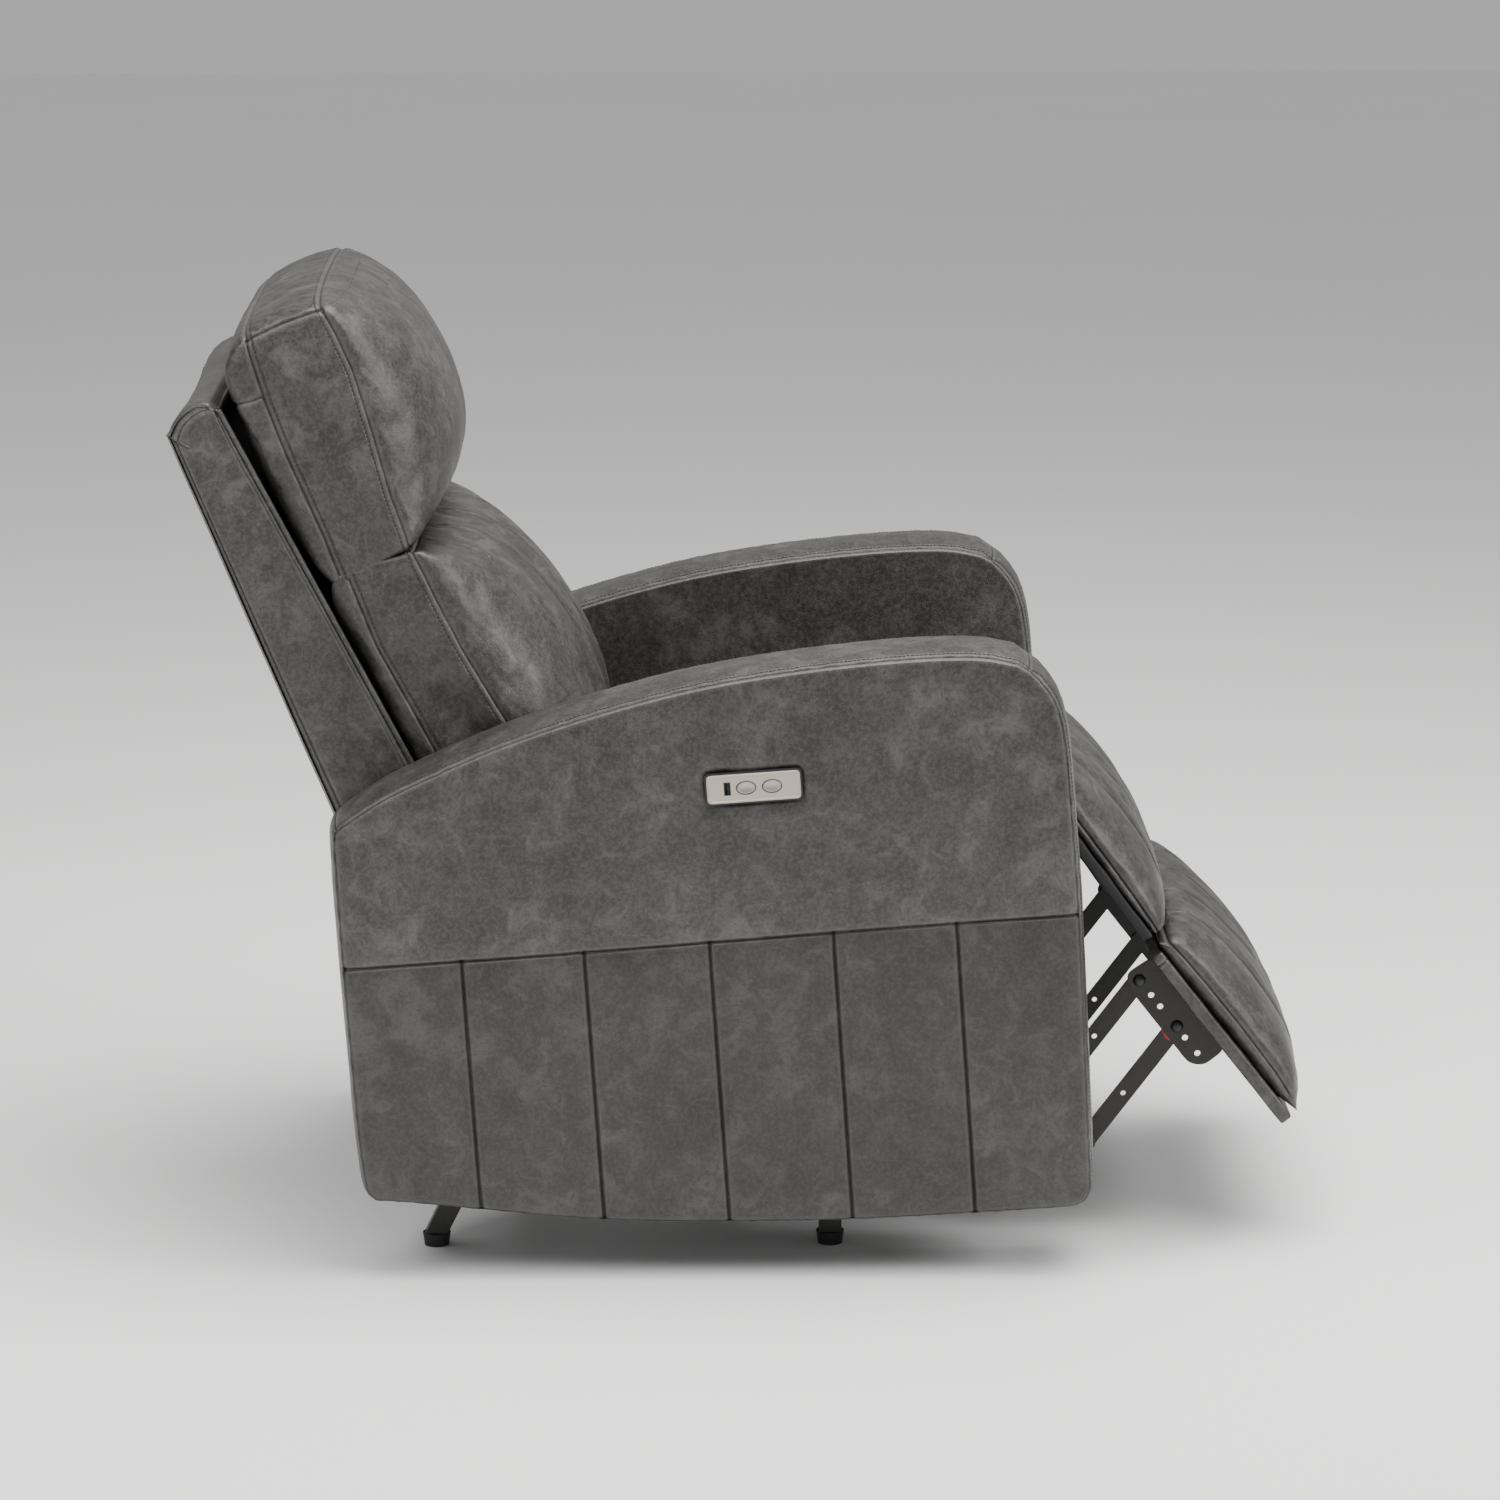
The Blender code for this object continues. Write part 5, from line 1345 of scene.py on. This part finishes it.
def build_shell():
    """A hollow upholstered shell: outer side panels, a rear panel and a piped front edge."""
    line = sampled([SHELL_FRONT[1], (-0.3580, 0.6665), (-0.4620, 0.9045), (-0.4755, 0.9340), (-0.4845, 0.9425),
                    (-0.5000, 0.9405), (-0.5180, 0.9280), (-0.5270, 0.9100), (-0.5240, 0.8920),
                    (-0.4400, 0.6420), SHELL_REAR[1]], 260)
    lengths = np.concatenate([[0.0], np.cumsum(np.linalg.norm(np.diff(line, axis=0), axis=1))])
    top_at = lengths[np.argmax(line[:, 1])]
    rear_at = lengths[np.argmin(line[:, 0])]
    front_at = lengths[np.argmin(np.hypot(line[:, 0] + 0.4755, line[:, 1] - 0.9340))]
    # the rear and top panel: a strip that follows the outline from the front of the top to the bottom
    part = ruled(front_at, lengths[-1], 0.012, (front_at, lengths[-1]))
    strip = np.column_stack([np.interp(part, lengths, line[:, k]) for k in (0, 1)])
    normal = tangents_of(strip)
    normal = np.column_stack([-normal[:, 1], normal[:, 0]])
    middle = np.array([-0.43, 0.70])
    flip = np.sign(((strip - middle) * normal).sum(1))
    normal *= flip[:, None]
    across = ruled(-SHELL_HALF, SHELL_HALF, 0.016, (-SHELL_HALF, SHELL_HALF))
    verts, faces, tags = [], [], {"seam_a": [], "seam_b": [], "seam_c": []}
    rows = len(part)
    for x in across:
        near = SHELL_HALF - abs(x)
        crown = 0.0045 * (1 - math.exp(-near / 0.006)) - 0.0040
        bow = np.interp(part, (front_at, top_at, rear_at, rear_at + 0.15, lengths[-1]),
                        (0.0, -0.003, -0.006, -0.004, 0.0)) * (1 - (x / SHELL_HALF) ** 2)
        spots = np.column_stack([np.full(rows, x), strip])
        lumps = 0.0009 * soft_noise(spots, 11.0, 6.0)
        verts.append(np.column_stack([np.full(rows, x), strip + normal * (crown + bow + lumps)[:, None]]))
        tags["seam_a"].append(np.full(rows, -min(near, FAR)))
        tags["seam_b"].append(np.clip(part - (rear_at + 0.010), -FAR, FAR))
        tags["seam_c"].append(np.full(rows, FAR))
    faces += grid_faces(len(across), rows)
    # side panels, folded over the piped front edge, then the lining inside
    for side in (-1, 1):
        depth_steps = ruled(0.0, 1.0, 0.10, (0.0, 1.0), (0.012, 0.03, 0.06, 0.09))
        rows_at = np.linspace(0.0, 1.0, 70)
        front_line = sampled([SHELL_FRONT[1], (-0.3580, 0.6665), (-0.4620, 0.9045), (-0.4755, 0.9340)], 200)
        rear_line = sampled([SHELL_REAR[1], (-0.4400, 0.6420), (-0.5240, 0.8920), (-0.5270, 0.9100),
                             (-0.5180, 0.9280), (-0.5000, 0.9405), (-0.4845, 0.9425), (-0.4755, 0.9340)], 200)
        f_line = np.column_stack([np.interp(rows_at, np.linspace(0, 1, 200), front_line[:, k]) for k in (0, 1)])
        r_line = np.column_stack([np.interp(rows_at ** 0.8, np.linspace(0, 1, 200), rear_line[:, k])
                                  for k in (0, 1)])
        inward = tangents_of(r_line)
        inward = np.column_stack([-inward[:, 1], inward[:, 0]])
        inward *= np.sign(((middle - r_line) * inward).sum(1))[:, None]
        r_line = r_line + inward * 0.0038 * (1 - rows_at[:, None] ** 12)
        offset = sum(len(v) for v in verts)
        for share in depth_steps:
            spots = r_line * (1 - share) + f_line * share
            width = np.linalg.norm(f_line - r_line, axis=1)
            from_rear, from_front = share * width, (1 - share) * width
            near = np.minimum(from_rear, from_front)
            puff = 0.0040 * (1 - np.exp(-near / 0.005))
            lumps = 0.0012 * soft_noise(np.column_stack([np.full(70, side * 1.0), spots]), 10.0, 9.0)
            x = side * (SHELL_HALF - 0.0035 + puff + lumps * np.clip(near / 0.02, 0, 1))
            verts.append(np.column_stack([x, spots]))
            tags["seam_a"].append(np.clip(from_rear - 0.0090, -FAR, FAR))
            tags["seam_b"].append(np.clip(from_front - 0.0075, -FAR, FAR))
            tags["seam_c"].append(np.full(70, FAR))
        faces += grid_faces(len(depth_steps), 70, offset)
        offset = sum(len(v) for v in verts)
        inner = SHELL_HALF - SHELL_WALL
        for x in (SHELL_HALF - 0.0035, SHELL_HALF - 0.006, inner + 0.002, inner):
            lip = f_line + (np.array([0.0022, 0.0010]) if x not in (SHELL_HALF - 0.0035, inner) else 0)
            verts.append(np.column_stack([np.full(70, side * x), lip]))
            for tag in tags:
                tags[tag].append(np.full(70, FAR))
        verts.append(np.column_stack([np.full(70, side * inner), r_line * 0.9 + f_line * 0.1]))
        for tag in tags:
            tags[tag].append(np.full(70, FAR))
        faces += grid_faces(5, 70, offset)
    offset = sum(len(v) for v in verts)
    # lining: the inner face of the rear panel
    lining = np.array([(-0.4865, 0.925), (-0.5105, 0.903), (-0.4280, 0.640), (-0.3350, 0.3680)])
    lining = sampled(lining, 24)
    for x in np.linspace(-(SHELL_HALF - SHELL_WALL), SHELL_HALF - SHELL_WALL, 12):
        verts.append(np.column_stack([np.full(24, x), lining]))
        for tag in tags:
            tags[tag].append(np.full(24, FAR))
    faces += grid_faces(12, 24, offset)
    # front lip of the top, and the bottom edge
    offset = sum(len(v) for v in verts)
    lip = np.array([(-0.4755, 0.9340), (-0.4735, 0.9290), (-0.4790, 0.9240), (-0.4865, 0.9250)])
    for x in across:
        verts.append(np.column_stack([np.full(4, x), lip]))
        for tag in tags:
            tags[tag].append(np.full(4, FAR))
    faces += grid_faces(len(across), 4, offset)
    offset = sum(len(v) for v in verts)
    hem = np.array([SHELL_REAR[1], (-0.3400, 0.3630), (-0.3350, 0.3680)])
    for x in np.linspace(-SHELL_HALF, SHELL_HALF, 12):
        verts.append(np.column_stack([np.full(3, x), hem]))
        for tag in tags:
            tags[tag].append(np.full(3, FAR))
    faces += grid_faces(12, 3, offset)
    world = to_world(np.vstack(verts))
    tags = {name: np.concatenate(values) for name, values in tags.items()}
    obj = mesh_object("back_shell_cover", world, faces, MATERIALS["leather"], tags)
    attach(obj, "back", "leather", "back_shell")
    # double piping along the front edge of both sides and over the top
    edge = sampled([SHELL_FRONT[1], (-0.3580, 0.6665), (-0.4620, 0.9045), (-0.4745, 0.9315)], 120)
    for side in (-1, 1):
        for k, inset in enumerate((0.0030, 0.0085)):
            path = to_world(np.column_stack([np.full(120, side * (SHELL_HALF - inset)),
                                             edge + np.array([0.0020, 0.0008])]))
            cord = tube(f"shell_piping_{'R' if side < 0 else 'L'}_{k + 1}", path, 0.0024, MATERIALS["leather_plain"])
            attach(cord, "back", "leather")
    for k, place in enumerate(((-0.4745, 0.9315), (-0.4765, 0.9250))):
        path = to_world(np.column_stack([np.linspace(-SHELL_HALF + 0.003, SHELL_HALF - 0.003, 60),
                                         np.full(60, place[0]), np.full(60, place[1])]))
        attach(tube(f"shell_piping_top_{k + 1}", path, 0.0024, MATERIALS["leather_plain"]), "back", "leather")
    return obj


def tube(name, path, radius, mat, sides=10):
    """A round welt along a world path, with closed ends."""
    path = np.asarray(path, float)
    tangent = tangents_of(path)
    guide = np.array([0.0, 0.3, 1.0])
    guide /= np.linalg.norm(guide)
    if np.abs(tangent @ guide).mean() > 0.9:
        guide = np.array([1.0, 0.0, 0.0])
    across = np.cross(tangent, guide)
    across /= np.linalg.norm(across, axis=1, keepdims=True)
    up = np.cross(across, tangent)
    angles = 2 * math.pi * np.arange(sides) / sides
    rings = (path[:, None] + radius * (np.cos(angles)[None, :, None] * across[:, None]
                                       + np.sin(angles)[None, :, None] * up[:, None]))
    faces = []
    for i in range(len(path) - 1):
        for k in range(sides):
            j = (k + 1) % sides
            faces.append((i * sides + k, i * sides + j, (i + 1) * sides + j, (i + 1) * sides + k))
    faces.append(tuple(reversed(range(sides))))
    faces.append(tuple((len(path) - 1) * sides + k for k in range(sides)))
    return face_outwards(mesh_object(name, rings.reshape(-1, 3), faces, mat))


# ================================================================ rivets of the leg rest linkage

BRACKET_FACE = 0.2115             # outer face of the footrest brackets
LIFT_FACE = 0.2155                # outer face of the lift links
LIFT_PIVOT = (0.2344, 0.2849)
LINK_SLOPE = math.radians(49.0)
PIVOT_SLOPE = math.radians(-55.07)


def revolved(name, x, f, z, side, profile, mat, sides=28):
    """A turned piece on an axis across the chair; profile gives (radius, height outwards from x)."""
    verts, faces = [], []
    for radius, height in profile:
        for k in range(sides):
            a = 2 * math.pi * k / sides
            verts.append((side * (x + height), f + radius * math.cos(a), z + radius * math.sin(a)))
    for r in range(len(profile) - 1):
        for k in range(sides):
            j = (k + 1) % sides
            faces.append((r * sides + k, r * sides + j, (r + 1) * sides + j, (r + 1) * sides + k))
    faces.append(tuple(reversed(range(sides))))
    faces.append(tuple((len(profile) - 1) * sides + k for k in range(sides)))
    return face_outwards(mesh_object(name, to_world(verts), faces, mat))


def dome(radius, height):
    """Profile of a domed rivet head with a small flat rim."""
    steps = [(radius, 0.0), (radius, height * 0.18)]
    steps += [(radius * math.cos(a) * 0.97, height * (0.18 + 0.82 * math.sin(a)))
              for a in (0.25, 0.5, 0.75, 1.0, 1.25, 1.45)]
    return steps


def build_rivets():
    knee = along(LIFT_PIVOT, BOARD_SLOPE, 0.200)
    lower_knee = along(knee, PIVOT_SLOPE, 0.0654)
    upper_end = along(knee, LINK_SLOPE, 0.160)
    lower_end = along(lower_knee, LINK_SLOPE, 0.160)
    for side in (-1, 1):
        label = "R" if side < 0 else "L"
        for name, spot, body in (("upper", upper_end, "upper_links"), ("lower", lower_end, "lower_links")):
            head = revolved(f"rivet_{name}_{label}", BRACKET_FACE, *spot, side, dome(0.0068, 0.0030),
                            MATERIALS["rivet"])
            attach(head, body, "black_steel")
        for name, spot in (("knee", knee), ("lower_knee", lower_knee)):
            head = revolved(f"rivet_{name}_{label}", LIFT_FACE, *spot, side, dome(0.0068, 0.0024),
                            MATERIALS["rivet"])
            attach(head, "lift", "black_steel")
    # a red nylon washer shows between the right lower link and its bracket
    washer = revolved("washer_R", 0.2077, lower_end[0] - 0.0050, lower_end[1] - 0.0050, -1,
                      ((0.0112, 0.0), (0.0116, 0.0004), (0.0112, 0.0008)), MATERIALS["washer"])
    attach(washer, "lower_links", "black_steel")


# ================================================================ controls

PLATE_FACE = 0.3934               # x of the control plate's outer face
BUTTON_FACE = 0.3945              # x of a button's outer face, as it stands unpressed
BUTTON_HALF = (0.00935, 0.00615)
BUTTON_CENTRES = (("close_button", 0.0457), ("open_button", 0.0725))


def oval_piece(name, centre, steps, mat, count=48):
    """A closed oval ring or cap: each step gives both half sizes and its distance from the chair's middle."""
    verts, faces = [], []
    for half_f, half_z, x in steps:
        for k in range(count):
            a = 2 * math.pi * k / count
            verts.append((-x, centre[0] + half_f * math.cos(a), centre[1] + half_z * math.sin(a)))
    for r in range(len(steps) - 1):
        for k in range(count):
            j = (k + 1) % count
            faces.append((r * count + k, r * count + j, (r + 1) * count + j, (r + 1) * count + k))
    return to_world(verts), faces, count


def build_controls():
    for body, f in BUTTON_CENTRES:
        centre = (f, PANEL_CENTRE[1])
        a, b = BUTTON_HALF
        steps = [(a, b, BUTTON_FACE - 0.0110), (a, b, BUTTON_FACE - 0.0006), (a - 0.0002, b - 0.0002, BUTTON_FACE - 0.0002),
                 (a - 0.0006, b - 0.0006, BUTTON_FACE)]
        # the face is dished like a fingertip
        for share in (0.85, 0.7, 0.5, 0.3, 0.1):
            steps.append(((a - 0.0006) * share, (b - 0.0006) * share, BUTTON_FACE - 0.0008 * (1 - share ** 2)))
        verts, faces, count = oval_piece(body, centre, steps, None)
        faces.append(tuple(reversed(range(count))))
        faces.append(tuple((len(steps) - 1) * count + k for k in range(count)))
        cap = face_outwards(mesh_object(body + "_cap", verts, faces, MATERIALS["button"]))
        attach(cap, body, "champagne_metal", body)
        # painted shade: a dark raised ring round the button, where there is a shaded gap
        ring = [(a + 0.0003, b + 0.0003, PLATE_FACE - 0.0012), (a + 0.0003, b + 0.0003, PLATE_FACE + 0.0001),
                (a + 0.0006, b + 0.0006, PLATE_FACE + 0.0004), (a + 0.0011, b + 0.0011, PLATE_FACE + 0.0004),
                (a + 0.0014, b + 0.0014, PLATE_FACE + 0.0001), (a + 0.0014, b + 0.0014, PLATE_FACE - 0.0012)]
        verts, faces, count = oval_piece(body, centre, ring, None)
        last = (len(ring) - 1) * count
        faces += [(last + k, last + (k + 1) % count, (k + 1) % count, k) for k in range(count)]
        bezel = face_outwards(mesh_object(body + "_bezel", verts, faces, MATERIALS["bezel"]))
        attach(bezel, "chassis", "champagne_metal")
    # bevelled lip round the plate
    f, z = PANEL_CENTRE
    outline, steps = [], ((0.0004, -0.0010), (0.0004, 0.0004), (0.0010, 0.0009), (0.0018, 0.0007), (0.0024, 0.0001),
                          (0.0024, -0.0010))
    for inset, rise in steps:
        half_f, half_z, corner = 0.0485 - inset, 0.0150 - inset, 0.0050 - inset * 0.6
        ring = []
        for quarter in range(4):
            sf, sz = ((1, 1), (-1, 1), (-1, -1), (1, -1))[quarter]
            for k in range(9):
                a = math.pi / 2 * (quarter + k / 8)
                ring.append((-(PLATE_FACE + rise), f + sf * (half_f - corner) + corner * math.cos(a),
                             z + sz * (half_z - corner) + corner * math.sin(a)))
        outline.append(ring)
    count = len(outline[0])
    verts = [p for ring in outline for p in ring]
    faces = []
    for r in range(len(outline)):
        n = (r + 1) % len(outline)
        for k in range(count):
            j = (k + 1) % count
            faces.append((r * count + k, r * count + j, n * count + j, n * count + k))
    lip = face_outwards(mesh_object("control_plate_lip", to_world(verts), faces, MATERIALS["champagne"]))
    attach(lip, "chassis", "champagne_metal")


# ================================================================ finishes of the frame's own pieces

NODE_FINISHES = {
    "steel": ("base_rail_R", "base_rail_L", "base_cross_front", "base_cross_rear", "rocker_mount_R",
              "rocker_mount_L", "side_plate_R", "side_plate_L", "actuator_rail", "drive_tube", "drive_block",
              "back_bracket_R", "back_bracket_L", "lift_link_R", "lift_link_L", "control_link_R",
              "control_link_L", "upper_link_R", "upper_link_L", "lower_link_R", "lower_link_L",
              "footrest_bracket_R", "footrest_bracket_L"),
    "rubber": ("glide_front_R", "glide_front_L", "glide_rear_R", "glide_rear_L"),
    "zinc": ("rocker_spring_R", "rocker_spring_L", "seat_spring_1", "seat_spring_2", "seat_spring_3"),
    "wood": ("arm_frame_R", "arm_frame_L", "seat_side_rail_R", "seat_side_rail_L", "front_rail", "rear_rail"),
    "fabric": ("back_upright_R", "back_upright_L", "back_top_rail"),
    "plastic": ("motor", "power_inlet", "control_housing", "usb_port"),
    "champagne": ("control_plate",),
}


def build_finishes():
    for label, names in NODE_FINISHES.items():
        for name in names:
            node = frame["nodes"][name]
            node.data.materials.clear()
            node.data.materials.append(MATERIALS[label])


# ================================================================ stage

CAMERA_PLACE = (-6.23927, 0.09597, 1.77911)
CAMERA_RIGHT = (-0.01688, -0.99986, 0.0)
CAMERA_UP = (0.20258, -0.00342, 0.97926)
CAMERA_BACK = (-0.97912, 0.01653, 0.20261)


def add_light(name, place, target, size, power, colour=(1.0, 1.0, 1.0)):
    light = bpy.data.lights.new(name, "AREA")
    light.shape = "RECTANGLE"
    light.size, light.size_y = size
    light.energy = power
    light.color = colour
    obj = bpy.data.objects.new(name, light)
    bpy.context.scene.collection.objects.link(obj)
    obj.location = place
    obj.rotation_euler = (Vector(target) - Vector(place)).to_track_quat("-Z", "Y").to_euler()
    return obj


def build_stage():
    scene = bpy.context.scene
    chosen = settings()
    camera_data = bpy.data.cameras.new("camera")
    camera_data.lens = chosen.camera_lens
    camera_data.sensor_width = 36.0
    camera_data.clip_end = 60.0
    camera = bpy.data.objects.new("camera", camera_data)
    scene.collection.objects.link(camera)
    turn = Matrix((CAMERA_RIGHT, CAMERA_UP, CAMERA_BACK)).transposed().to_4x4()
    camera.matrix_world = Matrix.Translation(CAMERA_PLACE) @ turn
    scene.camera = camera

    mat, tree, shader = new_material("studio_floor", 0.75)
    place = object_coordinates(tree)
    tint = mix_colour(tree, noise_value(tree, place, 1.5, 2.0), (0.90, 0.90, 0.90, 1), (0.93, 0.93, 0.93, 1))
    tree.links.new(tint, shader.inputs["Base Color"])
    bm = bmesh.new()
    bmesh.ops.create_grid(bm, x_segments=24, y_segments=24, size=14.0)
    mesh = bpy.data.meshes.new("studio_floor")
    bm.to_mesh(mesh)
    bm.free()
    mesh.materials.append(mat)
    floor = bpy.data.objects.new("studio_floor", mesh)
    scene.collection.objects.link(floor)

    world = scene.world or bpy.data.worlds.new("studio")
    scene.world = world
    world.use_nodes = True
    backdrop = world.node_tree.nodes.get("Background")
    backdrop.inputs["Color"].default_value = (1.0, 1.0, 1.0, 1.0)
    backdrop.inputs["Strength"].default_value = 0.47

    add_light("top_light", (-0.3, -0.5, 3.4), (0.0, 0.0, 0.5), (3.2, 3.2), chosen.key_power, (1.0, 0.985, 0.96))
    add_light("front_light", (-1.4, -3.2, 1.9), (0.0, 0.0, 0.5), (1.2, 1.2), 60.0)
    add_light("side_light", (-1.9, 1.6, 2.1), (-0.3, 0.2, 0.6), (1.0, 1.0), 34.0)


# ================================================================ add-on

class RECLINER_OT_materials(bpy.types.Operator):
    """Makes the leathers, metals, plastics and threads"""
    bl_idname = "recliner.materials"
    bl_label = "Materials"

    def execute(self, context):
        build_materials()
        return {"FINISHED"}


class RECLINER_OT_arms(bpy.types.Operator):
    """Makes both arm covers with their bands and topstitching"""
    bl_idname = "recliner.arms"
    bl_label = "Arms"

    def execute(self, context):
        for side in (-1, 1):
            build_arm(side)
        return {"FINISHED"}


class RECLINER_OT_headrest(bpy.types.Operator):
    """Makes the headrest cushion with its seams and topstitching"""
    bl_idname = "recliner.headrest"
    bl_label = "Headrest"

    def execute(self, context):
        build_headrest()
        return {"FINISHED"}


class RECLINER_OT_lumbar(bpy.types.Operator):
    """Makes the channelled lumbar cushion"""
    bl_idname = "recliner.lumbar"
    bl_label = "Lumbar cushion"

    def execute(self, context):
        build_lumbar()
        return {"FINISHED"}


class RECLINER_OT_seat(bpy.types.Operator):
    """Makes the channelled seat cushion"""
    bl_idname = "recliner.seat"
    bl_label = "Seat cushion"

    def execute(self, context):
        build_seat()
        return {"FINISHED"}


class RECLINER_OT_legrest(bpy.types.Operator):
    """Makes the footrest and the lower pad with their boards"""
    bl_idname = "recliner.legrest"
    bl_label = "Leg rest"

    def execute(self, context):
        build_footrest_pad()
        build_footrest_board()
        build_chaise_cover()
        build_chaise_board()
        return {"FINISHED"}


class RECLINER_OT_shell(bpy.types.Operator):
    """Makes the upholstered shell of the back and its piping"""
    bl_idname = "recliner.shell"
    bl_label = "Back shell"

    def execute(self, context):
        build_shell()
        return {"FINISHED"}


class RECLINER_OT_controls(bpy.types.Operator):
    """Makes the two buttons, the dark rings of painted shade round them and the lip of the control plate"""
    bl_idname = "recliner.controls"
    bl_label = "Controls"

    def execute(self, context):
        build_controls()
        return {"FINISHED"}


class RECLINER_OT_rivets(bpy.types.Operator):
    """Makes the domed rivets and the washer of the leg rest linkage"""
    bl_idname = "recliner.rivets"
    bl_label = "Rivets"

    def execute(self, context):
        build_rivets()
        return {"FINISHED"}


class RECLINER_OT_finishes(bpy.types.Operator):
    """Gives the frame's own pieces their paint, plating, rubber and grain"""
    bl_idname = "recliner.finishes"
    bl_label = "Finishes"

    def execute(self, context):
        build_finishes()
        return {"FINISHED"}


class RECLINER_OT_stage(bpy.types.Operator):
    """Makes the floor, the lights and the camera"""
    bl_idname = "recliner.stage"
    bl_label = "Stage"

    def execute(self, context):
        build_stage()
        return {"FINISHED"}


OPERATORS = (RECLINER_OT_materials, RECLINER_OT_arms, RECLINER_OT_controls, RECLINER_OT_rivets,
             RECLINER_OT_headrest, RECLINER_OT_lumbar, RECLINER_OT_seat, RECLINER_OT_legrest,
             RECLINER_OT_shell, RECLINER_OT_finishes, RECLINER_OT_stage)


class RECLINER_PT_panel(bpy.types.Panel):
    """The recliner's pieces, in the order in which they are made"""
    bl_idname = "RECLINER_PT_panel"
    bl_label = "Recliner"
    bl_space_type = "VIEW_3D"
    bl_region_type = "UI"
    bl_category = "Recliner"

    def draw(self, context):
        for operator in OPERATORS:
            self.layout.operator(operator.bl_idname)
        for name in ReclinerSettings.__annotations__:
            self.layout.prop(context.scene.recliner, name)


CLASSES = (ReclinerSettings, *OPERATORS, RECLINER_PT_panel)


def register():
    for cls in CLASSES:
        bpy.utils.register_class(cls)
    bpy.types.Scene.recliner = PointerProperty(type=ReclinerSettings)


def unregister():
    del bpy.types.Scene.recliner
    for cls in reversed(CLASSES):
        bpy.utils.unregister_class(cls)


def main():
    register()
    for operator in OPERATORS:
        call = getattr(bpy.ops.recliner, operator.bl_idname.split(".")[1])
        call()


if __name__ == "__main__":
    main()
